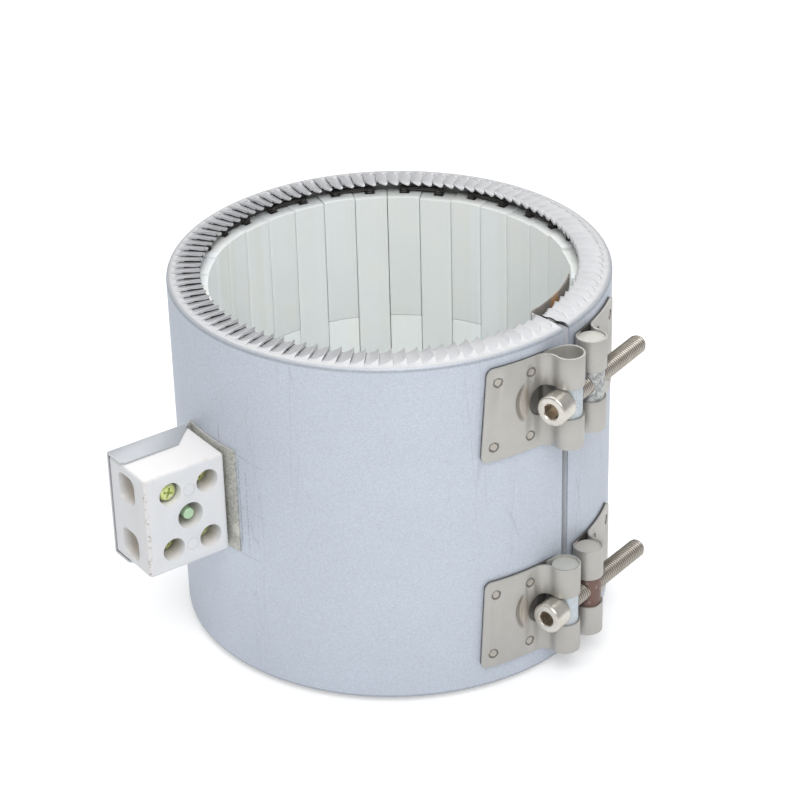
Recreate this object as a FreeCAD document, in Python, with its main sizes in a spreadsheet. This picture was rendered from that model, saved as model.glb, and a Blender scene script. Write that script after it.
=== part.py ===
import FreeCAD, Part
import math
import os
from FreeCAD import Placement, Rotation, Vector

# Ceramic band heater: a split sheet-metal band with pleated rims, lined with
# ceramic tiles that carry the resistance element, drawn together by two
# screw clamps and fed through a ceramic terminal block.
#
# Frame: origin on the axis of the bore, half-way up the band. +Z runs along
# the bore. The terminal block stands out along -X. Angles are measured
# anticlockwise from +X, seen from above.

doc = FreeCAD.newDocument("band_heater")

# ---------------------------------------------------------------- sizes (mm, degrees)

SIZES = (
    # the rolled shell
    ("shell_diameter", 184.0, "outside diameter of the band"),
    ("band_height", 155.0, "height over the two folded rims, without the pleats"),
    ("sheet_thickness", 0.8, "steel sheet of the shell"),
    ("rim_bend_radius", 2.0, "outer radius of the fold at each rim"),
    ("rim_land_width", 5.0, "smooth part of the rim, outside the pleats"),
    ("rim_opening_margin", 3.0, "inner edge of the pleats outside the tile faces"),
    ("gap_angle", -76.3, "direction of the gap in the band"),
    ("gap_width", 4.0, "opening of the gap"),
    # the pleats
    ("pleat_count", 99.0, "pleats from one end of the band to the other"),
    ("pleat_rise", 1.7, "height of a pleat's raised end at the inner edge"),
    ("pleat_lift", 0.4, "lift of the pleated ring towards its inner edge"),
    ("pleat_sheet", 0.6, "sheet thickness left in a drawn pleat"),
    ("pleat_step", 0.7, "width of the step between two pleats"),
    ("pleat_overlap", 1.2, "how far a pleat runs into the smooth rim"),
    # ceramic lining
    ("lining_depth", 17.0, "outside of the band to the tile faces"),
    ("tile_thickness", 9.2, "radial thickness of a tile"),
    ("tile_end_margin", 5.5, "ends of a tile column inside the flat rims"),
    ("short_tile_length", 58.5, "length of the short tile in each column"),
    ("tile_count", 33.0, "columns of tiles"),
    ("tile_joint", 0.25, "width of the joint between two tiles"),
    ("groove_width", 4.4, "width of the element's groove in a tile's back"),
    ("groove_depth", 4.4, "depth of that groove"),
    # element and insulation
    ("coil_size", 4.0, "outside diameter of the coiled wire"),
    ("coil_overrun", 2.0, "how far a coil run stands out of the tiles"),
    ("coil_link_size", 1.6, "thickness of the links between coil runs"),
    ("lead_width", 4.0, "width of the flat lead"),
    ("lead_thickness", 1.0, "thickness of the flat lead"),
    ("lead_pin_diameter", 1.2, "pin from the lead to the terminal"),
    ("lead_hole_clearance", 0.5, "play round a lead pin in the sheets it passes"),
    ("blanket_thickness", 5.1, "fibre blanket"),
    ("blanket_clearance", 0.1, "play between blanket and shell"),
    # sheet pieces at the gap
    ("end_sheet_thickness", 0.6, "sheet of the end walls and the tongue"),
    ("tongue_length", 36.0, "length of the tongue beyond the end wall"),
    ("tongue_bend_radius", 2.4, "outer radius of the tongue's bend"),
    ("fit_gap", 0.1, "play between pieces that are only laid together"),
    # clamps
    ("upper_clamp_margin", 26.0, "middle of the upper clamp below the upper rim"),
    ("lower_clamp_margin", 31.0, "middle of the lower clamp above the lower rim"),
    ("strap_height", 41.0, "height of a clamp strap"),
    ("strap_thickness", 0.8, "sheet of a clamp strap"),
    ("strap_length", 34.5, "barrel to far edge of the strap, along the shell"),
    ("strap_corner_radius", 3.0, "rounded corners of a strap"),
    ("strap_neck_radius", 4.5, "radius where the outer leg comes down to the shell"),
    ("strap_rise_radius", 40.0, "radius where the inner leg lifts off the shell"),
    ("strap_slot_height", 13.6, "slot in the strap for the clamp screw"),
    ("strap_slot_reach", 14.5, "barrel to the closed end of that slot"),
    ("weld_diameter", 3.6, "spot weld"),
    ("weld_near_reach", 13.6, "barrel to the spot welds beside the slot"),
    ("weld_far_reach", 29.5, "barrel to the spot welds at the far edge"),
    ("weld_rise", 14.2, "spot welds above and below the middle of a strap"),
    ("weld_depth", 0.3, "dimple of a spot weld"),
    ("barrel_diameter", 11.0, "clamp barrel"),
    ("barrel_length", 39.0, "clamp barrel"),
    ("short_barrel_length", 25.0, "barrel at the head of the upper screw"),
    ("barrel_spacing", 16.6, "between the two barrels of a clamp"),
    ("screw_side_standoff", 0.15, "play of a tapped barrel's loop over the shell"),
    ("upper_head_standoff", 1.8, "lift of the upper plain barrel's loop off the shell"),
    ("lower_head_standoff", 0.9, "lift of the lower plain barrel's loop off the shell"),
    ("screw_diameter", 8.0, "M8 clamp screw"),
    ("screw_length", 60.0, "clamp screw under its head"),
    ("screw_head_diameter", 13.0, "socket head"),
    ("screw_head_height", 8.0, "socket head"),
    ("screw_socket_width", 6.0, "hexagon socket across flats"),
    ("screw_socket_depth", 4.4, "hexagon socket"),
    ("thread_clearance", 0.05, "radial play of a screw in its thread"),
    ("plain_bore_diameter", 8.6, "cross bore of a plain barrel"),
    # terminal block
    ("terminal_height", 3.6, "middle of the terminal block above mid-height"),
    ("bracket_thickness", 0.8, "sheet of the terminal bracket"),
    ("bracket_base_height", 47.5, "bracket plate on the shell"),
    ("bracket_base_reach", 18.5, "bracket plate beyond the block's middle plane"),
    ("bracket_flange_width", 12.0, "flanges that hold the block"),
    ("bracket_flange_slope", 12.5, "sloped end of those flanges next to the shell"),
    ("block_height", 45.6, "ceramic block along the bore"),
    ("block_length", 37.5, "ceramic block away from the shell"),
    ("block_thickness", 27.4, "ceramic block across"),
    ("block_offset", 0.65, "block's middle plane beside the radial plane"),
    ("block_edge_radius", 1.6, "rounded edges of the block"),
    ("well_diameter", 10.0, "screwdriver well"),
    ("well_offset", 1.6, "wells nearer the shell than the middle of the block"),
    ("stud_well_diameter", 11.6, "well of the mounting stud"),
    ("stud_well_floor", 7.0, "ceramic left under the mounting nut"),
    ("screw_row_spacing", 26.0, "between the two poles"),
    ("screw_column_spacing", 17.3, "between the two screws of a pole"),
    ("entry_width", 12.6, "wire entry"),
    ("entry_depth", 6.0, "wire entry"),
    ("entry_corner_radius", 4.0, "wire entry"),
    ("insert_width", 9.0, "brass insert, square"),
    ("insert_length", 27.0, "brass insert"),
    ("insert_bore_diameter", 4.6, "wire bore of an insert"),
    ("terminal_screw_diameter", 4.0, "M4 terminal screw"),
    ("terminal_screw_length", 5.9, "terminal screw under its head"),
    ("terminal_head_diameter", 7.0, "terminal screw head"),
    ("terminal_head_height", 2.6, "terminal screw head"),
    ("driven_screw_depth", 6.6, "head of a driven screw below the face"),
    ("backed_screw_depth", 2.4, "head of the backed-out screw below the face"),
    ("stud_diameter", 4.0, "mounting stud"),
    ("stud_end_depth", 4.5, "stud end below the block's face"),
    ("nut_width", 7.0, "mounting nut across flats"),
    ("nut_height", 3.2, "mounting nut"),
)

# sizes that follow from the ones above
TIED_SIZES = (
    ("bore_diameter", "=shell_diameter - 2 * lining_depth",
     "working bore, across the tile faces"),
    ("rim_opening_radius", "=bore_diameter / 2 + rim_opening_margin",
     "inner edge of the pleats"),
    ("tile_stack_height", "=band_height - 2 * tile_end_margin",
     "height of one column of tiles"),
    ("blanket_inner_radius",
     "=shell_diameter / 2 - sheet_thickness - blanket_clearance - blanket_thickness",
     "inside of the fibre blanket"),
)

sheet = doc.addObject("Spreadsheet::Sheet", "Sizes")
for row, (alias, value, meaning) in enumerate(SIZES + TIED_SIZES, start=1):
    sheet.set("A%d" % row, alias)
    sheet.set("B%d" % row, str(value))
    sheet.set("C%d" % row, meaning)
    sheet.setAlias("B%d" % row, alias)
doc.recompute()


def size(alias):
    """A driving dimension, read back from the sheet."""
    return float(sheet.get(alias))


# ---------------------------------------------------------------- places worked out from the sizes

shell_radius = size("shell_diameter") / 2
half_height = size("band_height") / 2
bore_radius = size("bore_diameter") / 2
tile_back_radius = bore_radius + size("tile_thickness")
gap_half = size("gap_width") / 2
wall_offset = gap_half + size("end_sheet_thickness") + size("fit_gap")
lining_half_angle = math.degrees(math.asin((wall_offset + size("fit_gap")) / bore_radius))
tile_pitch = (360.0 - 2 * lining_half_angle) / size("tile_count")
tile_count = int(round(size("tile_count")))

strap_inner_radius = shell_radius + size("fit_gap") / 2
strap_middle_radius = strap_inner_radius + size("strap_thickness")
strap_outer_radius = strap_middle_radius + size("strap_thickness")
loop_inner = size("barrel_diameter") / 2 + size("fit_gap") / 2
loop_outer = loop_inner + size("strap_thickness")
barrel_seat_radius = strap_middle_radius + loop_inner

block_inner_x = -(shell_radius + size("bracket_thickness") + 4 * size("fit_gap"))
block_outer_x = block_inner_x - size("block_length")
block_face_y = -size("block_offset") - size("block_thickness") / 2
block_back_y = block_face_y + size("block_thickness")
pole_heights = (
    size("terminal_height") + size("screw_row_spacing") / 2,
    size("terminal_height") - size("screw_row_spacing") / 2,
)
well_middle_x = (block_inner_x + block_outer_x) / 2 + size("well_offset")
screw_columns = (
    well_middle_x - size("screw_column_spacing") / 2,
    well_middle_x + size("screw_column_spacing") / 2,
)
insert_outer_x = block_outer_x + size("entry_depth")
lead_pin_y = (size("insert_bore_diameter") - size("lead_pin_diameter")) / 2

AXIS = Vector(0, 0, 1)
parts = []


def polar(radius, degrees, height=0.0):
    """A point at a radius and an angle round the bore."""
    angle = math.radians(degrees)
    return Vector(radius * math.cos(angle), radius * math.sin(angle), height)


def turned(degrees):
    """A placement turned about the bore's axis."""
    return Placement(Vector(0, 0, 0), Rotation(AXIS, degrees))


def bind(thing, expressions):
    """Ties properties of a document object to cells of the sheet."""
    for name, expression in expressions.items():
        thing.setExpression(name, expression)
    return thing


def cylinder(name, radius, height, base="0 mm", angle=None):
    """A cylinder on the bore's axis, bound to the sheet."""
    thing = doc.addObject("Part::Cylinder", name)
    bind(thing, {"Radius": radius, "Height": height, "Placement.Base.z": base})
    if angle:
        thing.setExpression("Angle", angle)
    return thing


def box(name, length, width, height, corner):
    """A box bound to the sheet; corner is its lowest corner."""
    thing = doc.addObject("Part::Box", name)
    bind(thing, {"Length": length, "Width": width, "Height": height})
    bind(thing, dict(zip(("Placement.Base.x", "Placement.Base.y", "Placement.Base.z"), corner)))
    return thing


def cut(name, base, tool):
    """The first object without the second."""
    thing = doc.addObject("Part::Cut", name)
    thing.Base = base
    thing.Tool = tool
    return thing


def fuse(name, members):
    """Several objects joined into one solid."""
    thing = doc.addObject("Part::MultiFuse", name)
    thing.Shapes = members
    return thing


def group(name, members):
    """Several objects kept as separate solids of one sub-part."""
    thing = doc.addObject("Part::Compound", name)
    thing.Links = members
    return thing


def feature(name, shape, placement=None):
    """An object whose shape is worked out here."""
    thing = doc.addObject("Part::Feature", name)
    thing.Shape = shape
    if placement:
        thing.Placement = placement
    return thing


def rod(name, radius, length, start, direction):
    """A round bar from a point along a direction, bound to the sheet."""
    thing = doc.addObject("Part::Cylinder", name)
    bind(thing, {"Radius": radius, "Height": length})
    thing.Placement = Placement(start, Rotation(AXIS, direction))
    return thing


def keep(thing, label):
    """Marks an object as a finished sub-part; its label names its file."""
    thing.Label = label
    parts.append(thing)
    return thing


def solid_of(faces):
    """One solid from planar faces that close."""
    solid = Part.Solid(Part.Shell(faces))
    if solid.Volume < 0:
        solid.reverse()
    return solid


def polygon(points):
    """A planar face with these corners."""
    return Part.Face(Part.makePolygon(points + points[:1]))


# ---------------------------------------------------------------- outer shell


def pleat_section(radius, start, end, base, rise):
    """Outline of one pleat at a radius: a thin plate that climbs to a step."""
    near = polar(radius, start)
    along = polar(radius, end) - near
    width = along.Length
    sheet_left = size("pleat_sheet")
    step = size("pleat_step")
    outline = (
        (0, base),
        (0, base + sheet_left + rise),
        (step, base + sheet_left + rise * step / width),
        (width, base + sheet_left + rise),
        (width, base + rise),
        (step, base),
    )
    return [near + along * (s / width) + Vector(0, 0, z) for s, z in outline]


def pleat(start, end):
    """One pleat of the upper rim, fading out into the smooth rim."""
    outer_radius = shell_radius - size("rim_land_width") + size("pleat_overlap")
    middle = half_height - (size("sheet_thickness") + size("pleat_sheet")) / 2
    fade = (size("sheet_thickness") - size("pleat_sheet")) / 4
    inner = pleat_section(
        size("rim_opening_radius"), start, end, middle + size("pleat_lift"), size("pleat_rise"))
    outer = pleat_section(outer_radius, start, end, middle, fade)
    faces = [polygon(inner), polygon(outer)]
    for i in range(len(inner)):
        j = (i + 1) % len(inner)
        faces.append(polygon([inner[i], inner[j], outer[j]]))
        faces.append(polygon([inner[i], outer[j], outer[i]]))
    return solid_of(faces)


def pleat_edges():
    """Angles at which the pleats begin and end, from one end of the band to the other."""
    count = int(round(size("pleat_count")))
    end = math.degrees(math.asin(gap_half / shell_radius))
    pitch = (360.0 - 2 * end) / count
    return [size("gap_angle") + end + k * pitch for k in range(count + 1)]


def pleated_ring():
    """All pleats of one rim, counted from the gap."""
    edges = pleat_edges()
    return [pleat(start, end) for start, end in zip(edges, edges[1:])]


def fold(radius, height, bend):
    """Corner of the shell's section, folded in three flats, from wall to rim."""
    centre = Vector(radius, 0, height)
    steps = [math.radians(30 * k) for k in range(4)]
    return [centre + Vector(bend * math.cos(turn), 0, bend * math.sin(turn)) for turn in steps]


def shell_channel():
    """Wall of the band with both folded rims, as a full ring."""
    thickness = size("sheet_thickness")
    bend = size("rim_bend_radius")
    corner_r = shell_radius - bend
    corner_z = half_height - bend
    land = shell_radius - size("rim_land_width") - size("pleat_overlap")
    outside = fold(corner_r, corner_z, bend) + [Vector(land, 0, half_height)]
    inside = fold(corner_r, corner_z, bend - thickness)
    inside.append(Vector(land, 0, half_height - thickness))
    upper = outside + inside[::-1]
    lower = [Vector(point.x, 0, -point.z) for point in reversed(upper)]
    ring = polygon(upper + lower).revolve(Vector(0, 0, 0), AXIS, 360)
    return ring.cut(shell_mouth())


def shell_mouth():
    """Opening inside the smooth rim, one flat for each pleat."""
    reach = shell_radius - size("rim_land_width")
    corners = [polar(reach, angle, -size("band_height")) for angle in pleat_edges()]
    return polygon(corners).extrude(AXIS * (2 * size("band_height")))


upper_pleats = pleated_ring()
lower_pleats = [one.mirror(Vector(0, 0, 0), AXIS) for one in upper_pleats]
shell_pleated = feature("shell_pleated", shell_channel().multiFuse(upper_pleats + lower_pleats))


def gap_slot(name, width, inner="0 mm"):
    """A slot along the gap, from a radius outwards, as wide as an expression says."""
    tool = doc.addObject("Part::Box", name)
    bind(tool, {"Length": "Sizes.shell_diameter", "Width": width, "Height": "2 * Sizes.band_height"})
    half = float(tool.evalExpression(width)) / 2
    start = float(tool.evalExpression(inner))
    corner = Vector(start, -half, -size("band_height"))
    tool.Placement = turned(size("gap_angle")) * Placement(corner, Rotation())
    return tool


def lead_hole(name, height):
    """Hole through shell, blanket and bracket for one lead pin."""
    start = Vector(-tile_back_radius - size("lead_thickness"), lead_pin_y, height)
    return rod(name, "Sizes.lead_pin_diameter / 2 + Sizes.lead_hole_clearance", "Sizes.block_length",
               start, Vector(-1, 0, 0))


shell_open = cut("shell_open", shell_pleated, gap_slot("shell_gap", "Sizes.gap_width"))
shell_drilled = cut("shell_drilled_upper", shell_open, lead_hole("shell_hole_upper", pole_heights[0]))
outer_shell = cut("shell_drilled", shell_drilled, lead_hole("shell_hole_lower", pole_heights[1]))
keep(outer_shell, "outer_shell")

# ---------------------------------------------------------------- fibre blanket

blanket_height = "Sizes.band_height - 2 * Sizes.rim_bend_radius"
blanket_base = "-Sizes.band_height / 2 + Sizes.rim_bend_radius"
lining_gap = "Sizes.gap_width + 2 * Sizes.end_sheet_thickness + 4 * Sizes.fit_gap"
blanket_ring = cut(
    "blanket_ring",
    cylinder(
        "blanket_outside",
        "Sizes.shell_diameter / 2 - Sizes.sheet_thickness - Sizes.blanket_clearance",
        blanket_height, blanket_base),
    cylinder("blanket_inside", "Sizes.blanket_inner_radius", blanket_height, blanket_base))
blanket_open = cut("blanket_open", blanket_ring, gap_slot("blanket_gap", lining_gap))
blanket_upper = cut("blanket_upper", blanket_open, lead_hole("blanket_hole_upper", pole_heights[0]))
blanket = cut("blanket_drilled", blanket_upper, lead_hole("blanket_hole_lower", pole_heights[1]))
keep(blanket, "fibre_blanket")

# ---------------------------------------------------------------- ceramic tiles


def tile(name, face_radius, length, base):
    """One grooved tile, centred on the +X direction."""
    span = 360.0 * size("tile_joint") / (2 * math.pi * bore_radius)
    angle = tile_pitch - span
    sector = doc.addObject("Part::Cylinder", name + "_sector")
    bind(sector, {
        "Radius": "Sizes.bore_diameter / 2 + Sizes.tile_thickness",
        "Height": length,
        "Placement.Base.z": base,
    })
    sector.Angle = angle
    sector.Placement.Rotation = Rotation(AXIS, -angle / 2)
    body = cut(name + "_body", sector, cylinder(name + "_face", face_radius, length, base))
    groove = box(
        name + "_groove", "Sizes.tile_thickness", "Sizes.groove_width", length,
        ("Sizes.bore_diameter / 2 + Sizes.tile_thickness - Sizes.groove_depth",
         "-Sizes.groove_width / 2", base))
    return cut(name, body, groove)


def tile_column(name, face_radius, short_on_top):
    """A short and a long tile, one on the other."""
    short = "Sizes.short_tile_length"
    long = "(Sizes.tile_stack_height - Sizes.short_tile_length - Sizes.tile_joint)"
    foot = "-Sizes.tile_stack_height / 2"
    if short_on_top:
        upper, lower = short, long
    else:
        upper, lower = long, short
    low = tile(name + "_low", face_radius, lower, foot)
    top = tile(name + "_top", face_radius, upper, "%s + %s + Sizes.tile_joint" % (foot, lower))
    return low, top


plain_face = "Sizes.bore_diameter / 2"
tongue_face = "Sizes.bore_diameter / 2 + Sizes.end_sheet_thickness + Sizes.fit_gap"
tongue_angle = math.degrees(size("tongue_length") / bore_radius)
column_kinds = {
    (covered, short_on_top): tile_column(
        "tiles_%d%d" % (covered, short_on_top), tongue_face if covered else plain_face, short_on_top)
    for covered in (False, True) for short_on_top in (False, True)
}


def column_angle(number):
    """Direction of a column, counted anticlockwise from the gap."""
    return size("gap_angle") + lining_half_angle + (number - 0.5) * tile_pitch


for number in range(1, tile_count + 1):
    covered = (number - 1) * tile_pitch < tongue_angle
    column = group("column_%02d" % number, list(column_kinds[covered, number % 2 == 0]))
    column.Placement = turned(column_angle(number))
    keep(column, "tile_column_%02d" % number)

# ---------------------------------------------------------------- heating element

run_radius = tile_back_radius - size("groove_depth") / 2
run_top = size("tile_stack_height") / 2 + size("coil_overrun")


def coil_run(number):
    """One coiled run in a tile's groove, as a six-sided bar of the coil's size."""
    corners = [polar(size("coil_size") / 2, 30 + 60 * k, -run_top) for k in range(6)]
    bar = polygon(corners).extrude(AXIS * (2 * run_top))
    bar.translate(Vector(run_radius, 0, 0))
    bar.rotate(Vector(0, 0, 0), AXIS, column_angle(number))
    return bar


def coil_link(number):
    """Bridge from one run to the next, in turn over and under the tiles."""
    near = polar(run_radius, column_angle(number))
    far = polar(run_radius, column_angle(number + 1))
    along = far - near
    side = Vector(-along.y, along.x, 0).normalize() * (size("coil_link_size") / 2)
    base = run_top - size("coil_link_size") if number % 2 else -run_top
    corners = [near + side, near - side, far - side, far + side]
    link = polygon([corner + AXIS * base for corner in corners])
    return link.extrude(AXIS * size("coil_link_size"))


runs = [coil_run(number) for number in range(1, tile_count + 1)]
links = [coil_link(number) for number in range(1, tile_count)]
keep(feature("coil", runs[0].multiFuse(runs[1:] + links)), "heating_coil")


def lead(name, height, number, start, end):
    """A flat lead from the end of the element round to the terminal."""
    inner = tile_back_radius + size("fit_gap")
    outer = inner + size("lead_thickness")
    low = height - size("lead_width") / 2
    ring = Part.makeCylinder(outer, size("lead_width"), Vector(0, 0, low), AXIS, end - start)
    ring = ring.cut(Part.makeCylinder(inner, size("lead_width"), Vector(0, 0, low), AXIS))
    ring.rotate(Vector(0, 0, 0), AXIS, start)
    contact = run_radius + size("coil_size") / 2 * math.cos(math.radians(30))
    tab_width = size("coil_size") / 2
    tab = Part.makeBox(
        outer - contact - size("fit_gap") / 2, tab_width, size("lead_width"),
        Vector(contact, -tab_width / 2, low))
    tab.rotate(Vector(0, 0, 0), AXIS, column_angle(number))
    pin_end = screw_columns[1] - size("terminal_screw_diameter") / 2
    pin = Part.makeCylinder(
        size("lead_pin_diameter") / 2, -pin_end - inner - size("fit_gap"),
        Vector(-inner - size("fit_gap"), lead_pin_y, height), Vector(-1, 0, 0))
    return keep(feature(name, ring.multiFuse([tab, pin])), name)


end_margin = math.degrees(size("lead_width") / 2 / tile_back_radius)
lead("lead_upper", pole_heights[0], 1, column_angle(1) - end_margin, 180.0 + end_margin)
lead("lead_lower", pole_heights[1], tile_count,
     180.0 - end_margin, column_angle(tile_count) + end_margin)

# ---------------------------------------------------------------- sheet pieces at the gap


def wall_height():
    """Half-height of an end wall, clear of the folded rims."""
    return half_height - size("rim_bend_radius")


def gap_sheet(side):
    """Radial wall that closes the lining at one side of the gap."""
    thickness = size("end_sheet_thickness")
    outside = shell_radius - size("sheet_thickness") - size("blanket_clearance")
    inner = bore_radius + thickness + size("tongue_bend_radius")
    height = wall_height()
    low = side * gap_half if side > 0 else -gap_half - thickness
    return Part.makeBox(outside - inner, thickness, 2 * height, Vector(inner, low, -height))


def gap_tongue():
    """End wall with its tongue, bent round into the bore and across the gap."""
    thickness = size("end_sheet_thickness")
    bend = size("tongue_bend_radius")
    outer = bore_radius + thickness
    wall_out = -gap_half - thickness
    wall_in = -gap_half
    centre_y = wall_out + bend
    centre_x = math.sqrt((bore_radius + bend) ** 2 - centre_y ** 2)
    centre = Vector(centre_x, centre_y, 0)
    touch = math.degrees(math.atan2(centre_y, centre_x))
    end = touch + math.degrees(size("tongue_length") / bore_radius)
    toward = (Vector(0, 0, 0) - centre).normalize()
    corner_mid = (toward + Vector(0, -1, 0)).normalize()
    tight = bend - thickness
    top = bore_radius + 2 * bend
    outline = Part.Wire([
        Part.makeLine(Vector(top, wall_out, 0), Vector(centre_x, wall_out, 0)),
        Part.Arc(Vector(centre_x, wall_out, 0), centre + corner_mid * bend,
                 centre + toward * bend).toShape(),
        Part.Arc(polar(bore_radius, touch), polar(bore_radius, (touch + end) / 2),
                 polar(bore_radius, end)).toShape(),
        Part.makeLine(polar(bore_radius, end), polar(outer, end)),
        Part.Arc(polar(outer, end), polar(outer, (touch + end) / 2), polar(outer, touch)).toShape(),
        Part.Arc(centre + toward * tight, centre + corner_mid * tight,
                 Vector(centre_x, wall_in, 0)).toShape(),
        Part.makeLine(Vector(centre_x, wall_in, 0), Vector(top, wall_in, 0)),
        Part.makeLine(Vector(top, wall_in, 0), Vector(top, wall_out, 0)),
    ])
    strip = Part.Face(outline).extrude(AXIS * (2 * half_height))
    strip.translate(Vector(0, 0, -half_height))
    room = size("rim_opening_radius") - 2 * size("fit_gap")
    rim = Part.makeCylinder(shell_radius, 2 * half_height, Vector(0, 0, -half_height))
    rim = rim.cut(Part.makeCylinder(room, 2 * half_height, Vector(0, 0, -half_height)))
    height = wall_height()
    rim = rim.cut(Part.makeCylinder(shell_radius, 2 * height, Vector(0, 0, -height)))
    return gap_sheet(-1).fuse(strip.cut(rim)).removeSplitter()


keep(feature("tongue", gap_tongue(), turned(size("gap_angle"))), "gap_tongue")
keep(feature("end_wall", gap_sheet(1), turned(size("gap_angle"))), "gap_end_wall")

# ---------------------------------------------------------------- clamp straps


def arc_about(centre, radius, start, end):
    """An arc round a centre between two angles in degrees."""
    first = centre + polar(radius, start)
    middle = centre + polar(radius, (start + end) / 2)
    return Part.Arc(first, middle, centre + polar(radius, end)).toShape()


def angle_of(vector):
    """Direction of a vector in the XY plane, in degrees."""
    return math.degrees(math.atan2(vector.y, vector.x))


def inner_rise(standoff):
    """Centre of the curve that lifts the inner leg off the shell, and where it starts."""
    bend = size("strap_rise_radius")
    reach = strap_inner_radius + bend
    barrel = barrel_seat_radius + standoff
    swing = (reach ** 2 + barrel ** 2 - (bend - loop_outer) ** 2) / (2 * reach * barrel)
    start = -math.degrees(math.acos(swing))
    return polar(reach, start), start


def strap_profile(standoff):
    """Section of a folded strap: two legs on the shell and a loop round the barrel.

    The barrel is on +X and the legs run clockwise from it.
    """
    here = Vector(0, 0, 0)
    barrel = Vector(barrel_seat_radius + standoff, 0, 0)
    far = -math.degrees(size("strap_length") / shell_radius)
    sheet_left = size("strap_thickness")
    rise, lift = inner_rise(standoff)
    rise_radius = size("strap_rise_radius")
    neck = size("strap_neck_radius")
    reach = strap_outer_radius + neck
    swing = (reach ** 2 + barrel.x ** 2 - (loop_outer + neck) ** 2) / (2 * reach * barrel.x)
    join = -math.degrees(math.acos(swing))
    centre = polar(reach, join)
    toward = angle_of(centre - barrel)
    back = angle_of(barrel - centre)
    landing = angle_of(here - centre)
    foot = angle_of(here - rise)
    under = angle_of(barrel - rise)

    outside = Part.Wire([
        arc_about(here, strap_inner_radius, far, lift),
        arc_about(rise, rise_radius, foot, under),
        arc_about(barrel, loop_outer, under, toward),
        arc_about(centre, neck, back, landing),
        arc_about(here, strap_outer_radius, join, far),
        Part.makeLine(polar(strap_outer_radius, far), polar(strap_inner_radius, far)),
    ])
    inside = Part.Wire([
        arc_about(rise, rise_radius - sheet_left, foot, under),
        arc_about(barrel, loop_inner, under, toward),
        arc_about(centre, neck + sheet_left, back, landing),
        arc_about(here, strap_middle_radius, join, lift),
    ])
    return Part.Face(outside).cut(Part.Face(inside))


def strap_slot(standoff):
    """Tools for the slot that lets the screw through all but the inner leg."""
    height = size("strap_slot_height")
    play = size("fit_gap") / 2
    centre_angle = -math.degrees((size("strap_slot_reach") - height / 2) / shell_radius)
    length = 4 * loop_outer
    low = strap_inner_radius - loop_outer
    side = Part.makeBox(length, length, height, Vector(low, 0, -height / 2))
    seat = barrel_seat_radius + standoff - size("screw_diameter") / 2 - size("strap_thickness")
    side = side.cut(Part.makeCylinder(seat, 2 * height, Vector(0, 0, -height)))

    way = Part.makeBox(length, length, height, Vector(low, 0, -height / 2))
    way = way.fuse(Part.makeCylinder(height / 2, length, Vector(low, 0, 0), Vector(1, 0, 0)))
    way.rotate(Vector(0, 0, 0), AXIS, centre_angle)
    far_side = Part.makeBox(2 * length, length, 2 * height, Vector(low - length / 2, play, -height))
    way = way.cut(far_side)
    floor = Part.makeCylinder(strap_middle_radius + play, 2 * height, Vector(0, 0, -height))
    rise, lift = inner_rise(standoff)
    under = Part.makeBox(2 * length, 2 * length, 2 * height, Vector(low - length / 2, 0, -height))
    under.rotate(Vector(0, 0, 0), AXIS, lift)
    hollow = size("strap_rise_radius") - size("strap_thickness") - play
    under = under.cut(Part.makeCylinder(
        hollow, 4 * height, Vector(rise.x, rise.y, -2 * height)))
    return [side, way.cut([floor, under])]


def strap_welds():
    """Dimples of the four spot welds."""
    depth = size("weld_depth")
    start = strap_outer_radius - depth
    return [
        Part.makeCylinder(size("weld_diameter") / 2, size("barrel_diameter"),
                          polar(start, -math.degrees(place / shell_radius), side * size("weld_rise")),
                          polar(1.0, -math.degrees(place / shell_radius)))
        for place in (size("weld_near_reach"), size("weld_far_reach")) for side in (-1, 1)
    ]


def strap_blank():
    """Rounded outline of the unfolded strap, seen from outside."""
    height = size("strap_height")
    radius = size("strap_corner_radius")
    far = -math.degrees(size("strap_length") / shell_radius)
    length = size("strap_length") + 2 * loop_outer
    depth = 4 * loop_outer
    plate = Part.makeBox(depth, length, height, Vector(strap_inner_radius - 1, 0, -height / 2))
    corners = [edge for edge in plate.Edges
               if abs(edge.Vertexes[0].Y) < radius / 100 and abs(edge.Vertexes[1].Y) < radius / 100
               and abs(edge.Vertexes[0].Z - edge.Vertexes[1].Z) < radius / 100]
    plate = plate.makeFillet(radius, corners)
    plate.rotate(Vector(0, 0, 0), AXIS, far)
    return plate


def strap(standoff):
    """One folded strap, slotted and spot-welded."""
    height = size("strap_height")
    folded = strap_profile(standoff).extrude(AXIS * height)
    folded.translate(Vector(0, 0, -height / 2))
    far = -math.degrees(size("strap_length") / shell_radius)
    corner_zone = Part.makeBox(
        4 * loop_outer, size("strap_length") / 2, 2 * height,
        Vector(strap_inner_radius - 1, -1, -height))
    corner_zone.rotate(Vector(0, 0, 0), AXIS, far)
    waste = corner_zone.cut(strap_blank())
    return folded.cut(strap_slot(standoff) + [waste] + strap_welds())


def barrel_angle(standoff, side):
    """Direction of a barrel; side is -1 before the gap and +1 after it."""
    radius = barrel_seat_radius + standoff
    return size("gap_angle") + side * math.degrees(math.asin(size("barrel_spacing") / 2 / radius))


def barrel_centre(standoff, side, height):
    """Middle of a barrel."""
    return polar(barrel_seat_radius + standoff, barrel_angle(standoff, side), height)


def barrel(name, centre, length, hole_radius, direction):
    """Clamp barrel with its cross bore."""
    pin = doc.addObject("Part::Cylinder", name + "_pin")
    bind(pin, {"Radius": "Sizes.barrel_diameter / 2", "Height": length})
    half = float(pin.evalExpression(length)) / 2
    pin.Placement = Placement(centre - AXIS * half, Rotation())
    reach = size("barrel_diameter")
    bore = rod(name + "_bore", hole_radius, "2 * Sizes.barrel_diameter",
               centre - direction * reach, direction)
    return cut(name, pin, bore)


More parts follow.
